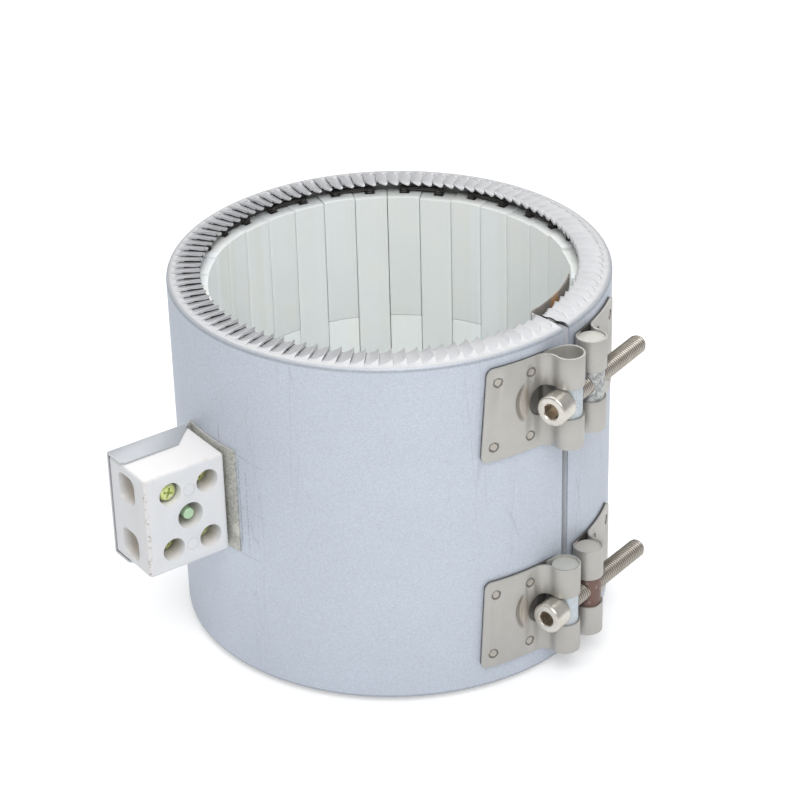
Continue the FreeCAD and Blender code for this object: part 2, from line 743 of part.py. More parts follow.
def clamp_screw(name, seat, direction):
    """Socket-head screw; seat is where the head's underside meets its axis."""
    shank = rod(name + "_shank", "Sizes.screw_diameter / 2", "Sizes.screw_length", seat, direction)
    head = rod(name + "_blank", "Sizes.screw_head_diameter / 2", "Sizes.screw_head_height",
               seat, -direction)
    socket = doc.addObject("Part::Prism", name + "_socket")
    socket.Polygon = 6
    bind(socket, {"Circumradius": "Sizes.screw_socket_width / sqrt(3)",
                  "Height": "2 * Sizes.screw_socket_depth"})
    mouth = seat - direction * (size("screw_head_height") + size("screw_socket_depth"))
    socket.Placement = Placement(mouth, Rotation(AXIS, direction))
    return cut(name, fuse(name + "_body", [head, shank]), socket)


def clamp(name, height, head_standoff, head_barrel_length):
    """Two straps, two barrels and the screw of one clamp."""
    plain = size("screw_side_standoff")
    head_side = barrel_centre(head_standoff, -1, height)
    screw_side = barrel_centre(plain, 1, height)
    direction = (screw_side - head_side).normalize()
    lift = Placement(Vector(0, 0, height), Rotation())
    before = feature(name + "_strap_left", strap(head_standoff),
                     lift * turned(barrel_angle(head_standoff, -1)))
    mirrored = strap(plain).mirror(Vector(0, 0, 0), Vector(0, 1, 0))
    after = feature(name + "_strap_right", mirrored, lift * turned(barrel_angle(plain, 1)))
    keep(before, name + "_strap_left")
    keep(after, name + "_strap_right")
    keep(barrel(name + "_plain", head_side, head_barrel_length,
                "Sizes.plain_bore_diameter / 2", direction), name + "_barrel_plain")
    keep(barrel(name + "_tapped", screw_side, "Sizes.barrel_length",
                "Sizes.screw_diameter / 2 + Sizes.thread_clearance", direction),
         name + "_barrel_tapped")
    seat = head_side - direction * (size("barrel_diameter") / 2 + size("thread_clearance"))
    keep(clamp_screw(name + "_screw", seat, direction), name + "_screw")


clamp("clamp_upper", half_height - size("upper_clamp_margin"), size("upper_head_standoff"),
      "Sizes.short_barrel_length")
clamp("clamp_lower", size("lower_clamp_margin") - half_height, size("lower_head_standoff"),
      "Sizes.barrel_length")

# ---------------------------------------------------------------- terminal bracket

bracket_inner = shell_radius + size("fit_gap") / 2
bracket_outer = bracket_inner + size("bracket_thickness")
flange_low = size("terminal_height") - size("block_height") / 2 - size("fit_gap")
flange_high = size("terminal_height") + size("block_height") / 2 + size("fit_gap")
side_inner = block_back_y + size("fit_gap")
side_outer = side_inner + size("bracket_thickness")


def bracket_base():
    """Curved plate on the shell, from the side sheet to beyond the block."""
    height = size("bracket_base_height")
    low = size("terminal_height") - size("block_height") / 2 - size("fit_gap")
    start = 180.0 - math.degrees(math.asin(side_outer / bracket_outer))
    end = 180.0 + math.degrees(math.asin(size("bracket_base_reach") / bracket_outer))
    plate = Part.makeCylinder(bracket_outer, height, Vector(0, 0, low), AXIS, end - start)
    plate = plate.cut(Part.makeCylinder(bracket_inner, height, Vector(0, 0, low)))
    plate.rotate(Vector(0, 0, 0), AXIS, start)
    return plate


def bracket_side():
    """Flat sheet that stands out from the shell behind the block."""
    root_x = -math.sqrt(bracket_inner ** 2 - side_inner ** 2)
    reach = root_x - block_outer_x + size("fit_gap")
    low = flange_low - size("bracket_thickness")
    high = flange_high + size("bracket_thickness")
    plate = Part.makeBox(reach, size("bracket_thickness"), high - low,
                         Vector(block_outer_x - size("fit_gap"), side_inner, low))
    return plate.cut(Part.makeCylinder(bracket_inner, high - low, Vector(0, 0, low)))


def bracket_flange(low):
    """Flange over one end of the block, sloped next to the shell."""
    root_x = -math.sqrt(bracket_outer ** 2 - side_outer ** 2) - 2 * size("fit_gap")
    end_x = block_outer_x - size("fit_gap")
    free_y = side_outer - size("bracket_flange_width")
    snip = size("bracket_thickness") * 2
    corners = [
        Vector(end_x, side_outer, low),
        Vector(end_x, free_y + snip, low),
        Vector(end_x + snip, free_y, low),
        Vector(root_x - size("bracket_flange_slope"), free_y, low),
        Vector(root_x, side_outer, low),
    ]
    return polygon(corners).extrude(AXIS * size("bracket_thickness"))


bracket_blank = feature("bracket_blank", bracket_base().multiFuse([
    bracket_side(), bracket_flange(flange_low - size("bracket_thickness")),
    bracket_flange(flange_high)]))
bracket_upper = cut("bracket_upper", bracket_blank, lead_hole("bracket_hole_upper", pole_heights[0]))
bracket = cut("bracket_drilled", bracket_upper, lead_hole("bracket_hole_lower", pole_heights[1]))
keep(bracket, "terminal_bracket")

# ---------------------------------------------------------------- terminal block

terminal_z = size("terminal_height")
block_blank = box(
    "block_blank", "Sizes.block_length", "Sizes.block_thickness", "Sizes.block_height",
    ("-Sizes.shell_diameter / 2 - Sizes.bracket_thickness - 4 * Sizes.fit_gap - Sizes.block_length",
     "-Sizes.block_offset - Sizes.block_thickness / 2",
     "Sizes.terminal_height - Sizes.block_height / 2"))
block_round = doc.addObject("Part::Fillet", "block_round")
block_round.Base = block_blank
doc.recompute()
edge_radius = size("block_edge_radius")
block_round.Edges = [(number, edge_radius, edge_radius) for number in range(1, 13)]
doc.recompute()


def pole_channel(height):
    """Room for one brass insert, open at the wire entry, with the lead's hole."""
    width = size("insert_width") + 2 * size("fit_gap")
    channel = Part.makeBox(
        size("entry_depth") + size("insert_length") + size("fit_gap"), width, width,
        Vector(block_outer_x, -width / 2, height - width / 2))
    entry = size("entry_width")
    mouth = Part.makeBox(2 * size("entry_depth"), entry, entry,
                         Vector(block_outer_x - size("entry_depth"), -entry / 2, height - entry / 2))
    long_edges = [edge for edge in mouth.Edges
                  if abs(edge.Vertexes[0].X - edge.Vertexes[1].X) > size("entry_depth")]
    mouth = mouth.makeFillet(size("entry_corner_radius"), long_edges)
    lead_way = Part.makeCylinder(
        size("lead_pin_diameter") / 2 + size("lead_hole_clearance"), size("block_length") / 2,
        Vector(block_inner_x, lead_pin_y, height), Vector(-1, 0, 0))
    return [channel, mouth, lead_way]


def wells():
    """Four screwdriver wells and the well of the mounting stud."""
    tools = [
        Part.makeCylinder(size("well_diameter") / 2, -block_face_y, Vector(x, block_face_y, z),
                          Vector(0, 1, 0))
        for x in screw_columns for z in pole_heights
    ]
    depth = size("block_thickness") - size("stud_well_floor")
    tools.append(Part.makeCylinder(
        size("stud_well_diameter") / 2, depth,
        Vector(well_middle_x, block_face_y, terminal_z), Vector(0, 1, 0)))
    tools.append(Part.makeCylinder(
        size("stud_diameter") / 2 + size("fit_gap"), size("block_thickness"),
        Vector(well_middle_x, block_face_y, terminal_z), Vector(0, 1, 0)))
    return tools


block_tools = wells() + pole_channel(pole_heights[0]) + pole_channel(pole_heights[1])
keep(feature("block", block_round.Shape.cut(block_tools)), "terminal_block")


def pole_insert(name, height):
    """Square brass insert with its wire bore and two tapped holes."""
    width = size("insert_width")
    body = Part.makeBox(size("insert_length"), width, width,
                        Vector(insert_outer_x, -width / 2, height - width / 2))
    tools = [Part.makeCylinder(size("insert_bore_diameter") / 2, size("insert_length"),
                               Vector(insert_outer_x, 0, height), Vector(1, 0, 0))]
    hole = size("terminal_screw_diameter") / 2 + size("thread_clearance")
    for x in screw_columns:
        tools.append(Part.makeCylinder(hole, width, Vector(x, -width / 2, height), Vector(0, 1, 0)))
    return keep(feature(name, body.cut(tools)), name)


pole_insert("terminal_insert_upper", pole_heights[0])
pole_insert("terminal_insert_lower", pole_heights[1])


def terminal_screw(name, x, z, depth):
    """Cross-recessed terminal screw, its head a depth below the block's face."""
    top = Vector(x, block_face_y + depth, z)
    inward = Vector(0, 1, 0)
    head_height = size("terminal_head_height")
    head = rod(name + "_head", "Sizes.terminal_head_diameter / 2", "Sizes.terminal_head_height",
               top, inward)
    shank = rod(name + "_shank", "Sizes.terminal_screw_diameter / 2",
                "Sizes.terminal_screw_length + Sizes.terminal_head_height / 2",
                top + inward * (head_height / 2), inward)
    long = size("terminal_head_diameter") * 0.6
    wide = size("terminal_head_diameter") * 0.14
    deep = head_height * 0.6
    cross = Part.makeBox(long, deep, wide, top - Vector(long / 2, 0, wide / 2)).fuse(
        Part.makeBox(wide, deep, long, top - Vector(wide / 2, 0, long / 2)))
    screw = cut(name, fuse(name + "_body", [head, shank]), feature(name + "_cross", cross))
    return keep(screw, name)


SCREW_NAMES = (
    ("terminal_screw_outer_upper", 0, 0, "backed_screw_depth"),
    ("terminal_screw_outer_lower", 0, 1, "driven_screw_depth"),
    ("terminal_screw_inner_upper", 1, 0, "driven_screw_depth"),
    ("terminal_screw_inner_lower", 1, 1, "driven_screw_depth"),
)
for label, column_index, pole, depth_alias in SCREW_NAMES:
    terminal_screw(label, screw_columns[column_index], pole_heights[pole], size(depth_alias))

stud_start = Vector(well_middle_x, side_inner, terminal_z)
stud_length = side_inner - block_face_y - size("stud_end_depth")
stud = Part.makeCylinder(size("stud_diameter") / 2, stud_length, stud_start, Vector(0, -1, 0))
keep(feature("stud", stud), "terminal_stud")

nut_seat_y = block_back_y - size("stud_well_floor")
nut = doc.addObject("Part::Prism", "nut_blank")
nut.Polygon = 6
bind(nut, {"Circumradius": "Sizes.nut_width / sqrt(3)", "Height": "Sizes.nut_height"})
nut.Placement = Placement(Vector(well_middle_x, nut_seat_y, terminal_z), Rotation(AXIS, Vector(0, -1, 0)))
nut_bore = rod("nut_bore", "Sizes.stud_diameter / 2 + Sizes.thread_clearance",
               "2 * Sizes.nut_height", Vector(well_middle_x, nut_seat_y + size("nut_height") / 2,
                                              terminal_z), Vector(0, -1, 0))
keep(cut("nut", nut, nut_bore), "terminal_nut")

# ---------------------------------------------------------------- checks and files

doc.recompute()
for thing in doc.Objects:
    if "Invalid" in thing.State or "Error" in thing.State:
        raise RuntimeError("%s failed: %s" % (thing.Name, thing.State))
for thing in parts:
    if thing.Shape.isNull() or not thing.Shape.isValid():
        raise RuntimeError("%s has no valid shape" % thing.Label)

os.makedirs("parts", exist_ok=True)
for thing in parts:
    thing.Shape.exportStep("parts/%s.step" % thing.Label)
    print("%-28s %d solid(s) %12.1f mm3" % (thing.Label, len(thing.Shape.Solids), thing.Shape.Volume))
print("%d sub-parts" % len(parts))
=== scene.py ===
import math
import random

import bmesh
import bpy
from mathutils import Matrix, Vector


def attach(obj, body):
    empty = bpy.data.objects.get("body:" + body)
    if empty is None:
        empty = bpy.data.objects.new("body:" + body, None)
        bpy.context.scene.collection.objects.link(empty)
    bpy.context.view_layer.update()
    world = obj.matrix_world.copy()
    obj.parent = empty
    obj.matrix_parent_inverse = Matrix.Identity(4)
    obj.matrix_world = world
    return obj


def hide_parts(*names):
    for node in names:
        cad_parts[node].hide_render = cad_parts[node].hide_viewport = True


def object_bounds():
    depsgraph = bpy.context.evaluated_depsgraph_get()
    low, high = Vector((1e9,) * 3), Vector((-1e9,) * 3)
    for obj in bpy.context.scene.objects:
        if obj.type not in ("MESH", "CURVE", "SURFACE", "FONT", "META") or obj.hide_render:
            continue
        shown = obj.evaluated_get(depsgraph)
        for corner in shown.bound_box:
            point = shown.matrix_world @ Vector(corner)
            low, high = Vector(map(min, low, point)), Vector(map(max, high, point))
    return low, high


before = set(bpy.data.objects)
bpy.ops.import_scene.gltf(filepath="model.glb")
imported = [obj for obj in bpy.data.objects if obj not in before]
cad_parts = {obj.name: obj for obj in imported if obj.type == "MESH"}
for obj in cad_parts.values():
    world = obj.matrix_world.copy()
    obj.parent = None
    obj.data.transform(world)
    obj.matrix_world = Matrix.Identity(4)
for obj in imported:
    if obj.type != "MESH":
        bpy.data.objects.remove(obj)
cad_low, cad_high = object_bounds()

MM = 0.001

# The band, in millimetres and degrees.
SHELL_RADIUS = 92.0
HALF_HEIGHT = 77.5
SHEET = 0.8
RIM_BEND = 2.0
GAP_HALF = 2.0
GAP_ANGLE = -76.3
PLEAT_COUNT = 99
BORE_RADIUS = 75.0
TILE_START = 1.96
TILE_PITCH = 10.80
TILE_COUNT = 33
COIL_PITCH = 1.1

CLAMPS = {
    # height, lift of the plain barrel's loop
    "upper": (51.5, 1.8),
    "lower": (-46.5, 0.9),
}
BARREL_SEAT = 98.4
BARREL_SPACING = 16.6
TAPPED_LIFT = 0.15
HEAD_SEAT = 5.55
WELD_RING = 1.9

BLOCK_FACE_Y = -14.35
BLOCK_OUTER_X = -130.7
POLES = (16.6, -9.4)
SCREW_COLUMNS = (-119.0, -101.7)
STUD_X = -110.35
TERMINAL_Z = 3.6
EMBOSSED_RINGS = (15.6, -9.8)

chance = random.Random(7)


def polar(radius, degrees, height=0.0):
    """A point round the bore, in millimetres."""
    angle = math.radians(degrees)
    return Vector((radius * math.cos(angle), radius * math.sin(angle), height))


def ease(value, low=0.0, high=1.0):
    """Smooth step between two limits."""
    t = min(max((value - low) / (high - low), 0.0), 1.0)
    return t * t * (3.0 - 2.0 * t)


# ---------------------------------------------------------------- shader maths


class Wire:
    """A shader socket that takes arithmetic."""

    def __init__(self, nodes, socket):
        self.nodes = nodes
        self.socket = socket

    def math(self, operation, *others):
        values = dict(enumerate((self, *others)))
        return self.nodes.node("ShaderNodeMath", {"operation": operation}, values)

    def __add__(self, other):
        return self.math("ADD", other)

    def __sub__(self, other):
        return self.math("SUBTRACT", other)

    def __rsub__(self, other):
        return self * -1.0 + other

    def __mul__(self, other):
        return self.math("MULTIPLY", other)

    def __truediv__(self, other):
        return self.math("DIVIDE", other)

    def __pow__(self, other):
        return self.math("POWER", other)

    __radd__ = __add__
    __rmul__ = __mul__

    def size(self):
        return self.math("ABSOLUTE")

    def at_least(self, other):
        return self.math("MAXIMUM", other)

    def at_most(self, other):
        return self.math("MINIMUM", other)

    def floor(self):
        return self.math("FLOOR")

    def sine(self):
        return self.math("SINE")

    def direction(self, along):
        """Angle of the vector (along, self), in degrees."""
        return self.math("ARCTAN2", along) * math.degrees(1.0)

    def band(self, low, high):
        """0 below low, 1 above high, smooth between; reversed when low is the larger."""
        if low > high:
            return 1.0 - self.band(high, low)
        return self.nodes.node(
            "ShaderNodeMapRange", {"interpolation_type": "SMOOTHSTEP"},
            {"Value": self, "From Min": low, "From Max": high})


class Nodes:
    """A node tree whose nodes all come from one method."""

    def __init__(self, tree):
        self.tree = tree

    def node(self, kind, settings, sockets, output=0):
        made = self.tree.nodes.new(kind)
        for key, value in settings.items():
            setattr(made, key, value)
        for key, value in sockets.items():
            self.join(made.inputs[key], value)
        return Wire(self, made.outputs[output])

    def join(self, socket, value):
        if isinstance(value, Wire):
            self.tree.links.new(value.socket, socket)
        elif socket.type == "RGBA":
            socket.default_value = (*value, 1.0)
        else:
            socket.default_value = value

    def camera_ray(self):
        """1 where the camera looks straight at a place, 0 for every other ray."""
        return self.node("ShaderNodeLightPath", {}, {}, "Is Camera Ray")


class Paint(Nodes):
    """One procedural finish."""

    def __init__(self, name, **fixed):
        self.material = bpy.data.materials.new(name)
        self.material.use_nodes = True
        super().__init__(self.material.node_tree)
        self.shader = self.tree.nodes["Principled BSDF"]
        self.here = None
        self.finish(**fixed)

    def place(self):
        """Position on the object, in millimetres."""
        if self.here is None:
            metres = self.node("ShaderNodeTexCoord", {}, {}, "Object")
            self.here = self.node(
                "ShaderNodeVectorMath", {"operation": "SCALE"}, {0: metres, "Scale": 1.0 / MM})
        return self.here

    def axes(self, vector=None):
        """The three parts of a vector, which is the position unless another is given."""
        split = self.node("ShaderNodeSeparateXYZ", {}, {0: vector or self.place()})
        return [Wire(self, out) for out in split.socket.node.outputs]

    def facing_up(self):
        """How far a face looks up: 1 on a level top, -1 on an underside."""
        return self.axes(self.node("ShaderNodeNewGeometry", {}, {}, "Normal"))[2]

    def radius(self):
        x, y = self.axes()[:2]
        return (x * x + y * y) ** 0.5

    def angle(self, start=0.0):
        """Angle round the bore from a start direction, in degrees, -180 to 180."""
        x, y = self.axes()[:2]
        c, s = math.cos(math.radians(start)), math.sin(math.radians(start))
        along = x * c + y * s
        across = y * c - x * s
        return across.direction(along)

    def unrolled(self, start=0.0):
        """Place on the unrolled wall: along the circle, up, and out, in millimetres."""
        return self.node("ShaderNodeCombineXYZ", {}, {
            0: self.angle(start) * (SHELL_RADIUS * math.pi / 180.0),
            1: self.axes()[2],
            2: self.radius()})

    def stretched(self, vector, factors, lean=0.0):
        """A vector turned by a lean in degrees and scaled along its axes."""
        return self.node("ShaderNodeMapping", {}, {
            "Vector": vector, "Scale": factors, "Rotation": (0.0, 0.0, math.radians(lean))})

    def noise(self, scale, detail=2.0, rough=0.5, vector=None):
        return self.node("ShaderNodeTexNoise", {}, {
            "Vector": vector or self.place(), "Scale": scale, "Detail": detail,
            "Roughness": rough})

    def cells(self, scale, vector=None, feature="F1"):
        return self.node("ShaderNodeTexVoronoi", {"feature": feature}, {
            "Vector": vector or self.place(), "Scale": scale}, "Distance")

    def blend(self, factor, first, second, kind="MIX"):
        """One colour over another; 6, 7 and 2 are a colour mix's own sockets."""
        settings = {"data_type": "RGBA", "blend_type": kind}
        return self.node("ShaderNodeMix", settings, {0: factor, 6: first, 7: second}, 2)

    def grey(self, amount):
        return self.node("ShaderNodeCombineColor", {}, {0: amount, 1: amount, 2: amount})

    def shade(self, colour, amount):
        """A colour made darker or lighter by a factor that varies."""
        return self.blend(1.0, colour, self.grey(amount), "MULTIPLY")

    def bump(self, height, depth_mm, strength):
        return self.node("ShaderNodeBump", {}, {
            "Height": height, "Distance": depth_mm * MM, "Strength": strength})

    def finish(self, **values):
        """Sets or links sockets of the shader, and gives the material."""
        for key, value in values.items():
            self.join(self.shader.inputs[key.replace("_", " ")], value)
        return self.material


# ---------------------------------------------------------------- finishes


def strongest(masks):
    """The largest of several masks at each place."""
    most = masks[0]
    for mask in masks[1:]:
        most = most.at_least(mask)
    return most


def scratches(paint, vector, scale, lean):
    """Sparse hairlines that lean one way."""
    turned = paint.stretched(vector, (1.0, 0.08, 0.3), lean)
    lines = paint.cells(scale, turned, "DISTANCE_TO_EDGE")
    patches = paint.noise(0.05, 1.0, 0.5, turned).band(0.60, 0.68)
    return lines.band(0.035, 0.0105) * patches


# colour of the rims where the forming tool rubbed them
RUBBED_BRIGHT = (0.61, 0.615, 0.63)
UPRIGHT_LINES = (
    # along the wall from the block, from and to a height, strength
    (19.6, -15.5, 24.5, 0.75),
    (23.4, -18.0, 20.0, 0.6),
    (8.5, 27.0, 36.0, 0.8),
)
LEVEL_LINES = (
    # height, from and to along the wall from the block, slope
    (29.8, 15.0, 33.0, -0.17),
    (-19.2, 15.0, 29.0, -0.05),
    (4.8, 18.0, 33.0, -0.12),
)


def marking_out(along, up):
    """Pencil lines on the wall beside the terminal block."""
    lines = []
    for place, low, high, faint in UPRIGHT_LINES:
        line = (along - place).size().band(0.32, 0.10) * up.band(low - 1.0, low + 1.0)
        lines.append(line * up.band(high + 1.0, high - 1.0) * faint)
    for level, low, high, slope in LEVEL_LINES:
        line = (up - level - along * slope).size().band(0.28, 0.08)
        ends = along.band(low - 1.0, low + 2.0) * along.band(high + 2.0, high - 3.0)
        lines.append(line * ends * 0.45)
    return strongest(lines)


def aluminised():
    """Pale blue-grey aluminised steel: fine grain, hairlines, marking-out lines and painted shade
    along the folds' outer bends.
    """
    paint = Paint("aluminised_sheet", Metallic=0.35)
    flat = paint.unrolled(180.0)
    along, up = paint.axes(flat)[:2]
    grain = paint.noise(0.95, 3.0, 0.8, flat)
    fine = paint.noise(2.3, 1.0, 0.6, flat)
    cloud = paint.noise(0.035, 3.0, 0.55, flat)
    speck = paint.noise(1.5, 4.0, 0.85, flat).band(0.36, 0.64)
    tone = 0.60 + grain * 0.38 + fine * 0.20 + speck * 0.14 + cloud * 0.08
    hair = scratches(paint, flat, 0.35, 62.0) + scratches(paint, flat, 0.22, -48.0)
    wobble = (paint.noise(0.4, 2.0, 0.6, flat) - 0.5) * 0.7
    broken = paint.noise(0.9, 2.0, 0.7, flat).band(0.38, 0.52)
    pencil = marking_out(along + wobble, up + wobble) * broken
    colour = paint.shade((0.585, 0.635, 0.715), tone)
    colour = paint.blend(hair.at_most(1.0) * 0.30, colour, (0.36, 0.39, 0.44))
    colour = paint.blend(pencil * 0.8, colour, (0.20, 0.21, 0.23))
    # painted shade: a darker, broken line along the outer bend of each fold, where the crease is
    # shaded
    bend = (up.size() - 76.1).size().band(0.9, 0.15) * broken.band(0.0, 0.4).at_least(0.7)
    colour = paint.blend(bend * 0.55, colour, (0.30, 0.315, 0.34))
    worn = up.size().band(76.7, 77.3)
    colour = paint.blend(worn, colour, paint.shade(RUBBED_BRIGHT, 0.86 + grain * 0.20))
    rough = 0.50 + grain * 0.14 - worn * 0.16
    return paint.finish(
        Base_Color=colour, Roughness=rough,
        Normal=paint.bump(grain + speck * 0.5 - hair * 0.3, 0.06, 0.6))


def rim_metal():
    """Smooth rim and ridges, rubbed bright by the forming tool."""
    paint = Paint("bright_rim", Metallic=0.45)
    grain = paint.noise(1.6, 3.0, 0.7)
    wide = paint.noise(0.35, 2.0, 0.6)
    colour = paint.shade(RUBBED_BRIGHT, 0.86 + grain * 0.16 + wide * 0.10)
    return paint.finish(
        Base_Color=colour, Roughness=0.36 + grain * 0.20,
        Normal=paint.bump(grain, 0.06, 0.5))


def hollow_metal():
    """Faces of the pleats: the same sheet, dull and speckled."""
    paint = Paint("pleat_face", Metallic=0.45)
    grain = paint.noise(1.9, 4.0, 0.8)
    speck = paint.cells(1.3).band(0.18, 0.05)
    wide = paint.noise(0.3, 2.0, 0.6)
    colour = paint.shade((0.57, 0.575, 0.59), 0.80 + grain * 0.26 + wide * 0.12)
    colour = paint.blend(speck * 0.35, colour, (0.42, 0.40, 0.38))
    return paint.finish(
        Base_Color=colour, Roughness=0.36 + grain * 0.24,
        Normal=paint.bump(grain, 0.08, 0.6))


def slot_shadow():
    """Inside of the folds: near black, painted as the shadow in the slots under the ridges."""
    paint = Paint("pleat_fold_painted_shadow", Metallic=0.3)
    grain = paint.noise(1.2, 2.0, 0.6)
    return paint.finish(
        Base_Color=paint.shade((0.045, 0.045, 0.048), 0.5 + grain), Roughness=0.75 + grain * 0.1)


def tile_ceramic():
    """Fired steatite tiles: off-white, each a slightly different batch."""
    paint = Paint("tile_ceramic", Specular_IOR_Level=0.35)
    flat = paint.unrolled(GAP_ANGLE)
    column = ((paint.angle(GAP_ANGLE) + 180.0 - TILE_START) / TILE_PITCH).floor()
    pick = paint.node("ShaderNodeTexWhiteNoise", {"noise_dimensions": "1D"}, {"W": column}, "Value")
    cloud = paint.noise(0.05, 3.0, 0.6)
    speck = paint.noise(0.9, 3.0, 0.65)
    spots = paint.cells(0.14, flat).band(0.055, 0.02)
    tone = 0.95 + pick * 0.05 + cloud * 0.06 - spots * 0.10
    hue = paint.blend(pick, (0.845, 0.875, 0.850), (0.835, 0.870, 0.885))
    hue = paint.blend(cloud.band(0.52, 0.75) * 0.5, hue, (0.86, 0.855, 0.80))
    colour = paint.shade(hue, tone)
    return paint.finish(
        Base_Color=colour, Roughness=0.50 + speck * 0.18,
        Normal=paint.bump(speck + cloud * 2.0, 0.05, 0.35))


def ceramic_fibre():
    """Loose fibre blanket, painted dark grey as the shade in the narrow gap between the tiles and
    the shell.
    """
    paint = Paint("ceramic_fibre", Roughness=0.95)
    strand = paint.noise(1.1, 5.0, 0.7, paint.stretched(paint.place(), (1.0, 1.0, 4.0)))
    # painted shade: the dark grey base colour, while the fibre itself is far lighter
    return paint.finish(
        Base_Color=paint.shade((0.40, 0.40, 0.385), 0.8 + strand * 0.3),
        Normal=paint.bump(strand, 0.5, 0.8))


def resistance_wire():
    """Heating wire painted near black so that it merges with the shade round the tiles; close turns
    as dark and light rings of painted shade and light.
    """
    paint = Paint("resistance_wire", Metallic=0.7)
    turns = (paint.axes()[2] * (2 * math.pi / COIL_PITCH)).sine()
    grain = paint.noise(1.0, 2.0, 0.6)
    # painted shade: the near-black colour; the rings are painted light and shade on each round turn
    return paint.finish(
        Base_Color=paint.shade((0.10, 0.095, 0.09), 0.8 + turns * 0.25 + grain * 0.2),
        Roughness=0.5 + grain * 0.2, Normal=paint.bump(turns, 0.3, 0.8))


def end_sheet_painted_shade():
    """Thin sheet at the gap: light grey folds, its outside painted brown as the shade it stands in,
    with an orange tint.
    """
    paint = Paint("end_sheet", Metallic=0.55)
    across = paint.angle(GAP_ANGLE) * (BORE_RADIUS * math.pi / 180.0)
    z = paint.axes()[2]
    grain = paint.noise(1.2, 3.0, 0.7)
    cloud = paint.noise(0.09, 2.0, 0.6)
    edge = (paint.radius() - 76.0).band(0.0, 1.5)
    # painted shade: the brown outside stands in for the shade behind the flange
    brown = paint.blend(cloud.band(0.35, 0.65), (0.30, 0.265, 0.235), (0.42, 0.39, 0.36))
    tint = (across - 16.0).size().band(5.0, 1.5) * (z - 72.0).size().band(9.0, 3.0)
    tint = tint * cloud.band(0.25, 0.5)
    brown = paint.blend(tint * 0.9, brown, (0.78, 0.38, 0.10))
    colour = paint.blend(edge, brown, (0.80, 0.82, 0.85))
    colour = paint.shade(colour, 0.85 + grain * 0.25)
    return paint.finish(
        Base_Color=colour, Roughness=0.38 + grain * 0.2, Normal=paint.bump(grain, 0.04, 0.5))


def strap_nickel(name, middle, side, welds):
    """Warm nickel-plated strap with spot welds, painted shade over the dished zone by the slot and
    a painted shadow on the faces next to the shell.

    middle is the angle and height of the barrel's centre, side is -1 for a strap that runs
    clockwise from it, and welds are places along the strap and up it, in millimetres.
    """
    angle, height = middle
    paint = Paint(name, Metallic=0.62)
    flat = paint.unrolled(angle)
    along, up, out = paint.axes(flat)
    along = along * side
    up = up - height
    brushed = paint.noise(0.9, 3.0, 0.65, paint.stretched(flat, (0.35, 2.4, 1.0)))
    cloud = paint.noise(0.10, 3.0, 0.6)
    grain = paint.noise(2.4, 2.0, 0.6)
    wobble = (paint.noise(0.7, 2.0, 0.6) - 0.5) * 1.1
    rings = []
    cores = []
    dents = []
    for place, rise in welds:
        away = (((along - place) ** 2.0 + (up - rise) ** 2.0) ** 0.5) + wobble
        rings.append((away - WELD_RING).size().band(0.55, 0.12))
        cores.append(away.band(WELD_RING * 0.75, WELD_RING * 0.2))
        dents.append(away.band(WELD_RING + 0.4, WELD_RING - 0.5) - rings[-1] * 0.6)
    ring = strongest(rings)
    core = strongest(cores)
    dent = strongest(dents)
    streak = paint.noise(1.0, 3.0, 0.7, paint.stretched(flat, (1.6, 0.12, 1.0)))
    bow = ((up - 1.6) / 8.2) ** 2.0
    # painted shade: a brown, streaked patch over the dished hollow by the slot, and a dark painted
    # crease line at its edge, also bumped in as a groove
    dish_shade = (((along - 17.6) / 3.8) ** 2.0 + bow + wobble * 0.3).band(1.25, 0.45)
    groove_and_shade = (along - 19.8 + bow * 3.0).size().band(1.5, 0.3) * dish_shade
    # painted shadow: near black on the strap's faces close to the shell
    crevice_shadow = out.band(92.98, 92.86)
    colour = paint.blend(cloud, (0.535, 0.525, 0.500), (0.475, 0.462, 0.432))
    colour = paint.shade(colour, 0.90 + brushed * 0.14 + grain * 0.08)
    colour = paint.blend(dish_shade * streak.band(0.35, 0.65) * 0.75, colour, (0.42, 0.345, 0.26))
    colour = paint.blend(groove_and_shade * 0.75, colour, (0.20, 0.19, 0.17))
    colour = paint.blend(ring * 0.85, colour, (0.20, 0.18, 0.155))
    colour = paint.blend(core * 0.45, colour, (0.50, 0.40, 0.30))
    colour = paint.blend(crevice_shadow * 0.85, colour, (0.07, 0.065, 0.06))
    rough = 0.30 + brushed * 0.16 + cloud * 0.08 + ring * 0.2
    height_map = brushed * 0.15 + grain * 0.1 - dent * 1.6 - groove_and_shade * 1.2
    return paint.finish(
        Base_Color=colour, Roughness=rough, Normal=paint.bump(height_map, 0.25, 0.8))


def zinc(name, hue, speckle, rust=0.0):
    """Zinc-plated barrel, blotched where the plating is thin."""
    paint = Paint(name, Metallic=0.55)
    grain = paint.noise(1.3, 3.0, 0.7)
    blotch = paint.noise(0.45, 4.0, 0.75).band(0.46, 0.60)
    pits = paint.cells(0.9).band(0.22, 0.08)
    colour = paint.shade(hue, 0.82 + grain * 0.3)
    colour = paint.blend(blotch * speckle, colour, (0.26, 0.27, 0.27))
    colour = paint.blend(pits * speckle * 0.8, colour, (0.12, 0.12, 0.12))
    if rust:
        rusted = paint.noise(0.3, 4.0, 0.7).band(0.25, 0.42) * rust
        colour = paint.blend(rusted, colour, (0.17, 0.085, 0.065))
    face = paint.facing_up().band(0.7, 0.95)
    colour = paint.blend(face * 0.85, colour, (0.66, 0.65, 0.60))
    return paint.finish(
        Base_Color=colour, Roughness=0.36 + grain * 0.2 + face * 0.2,
        Normal=paint.bump(grain, 0.06, 0.6))


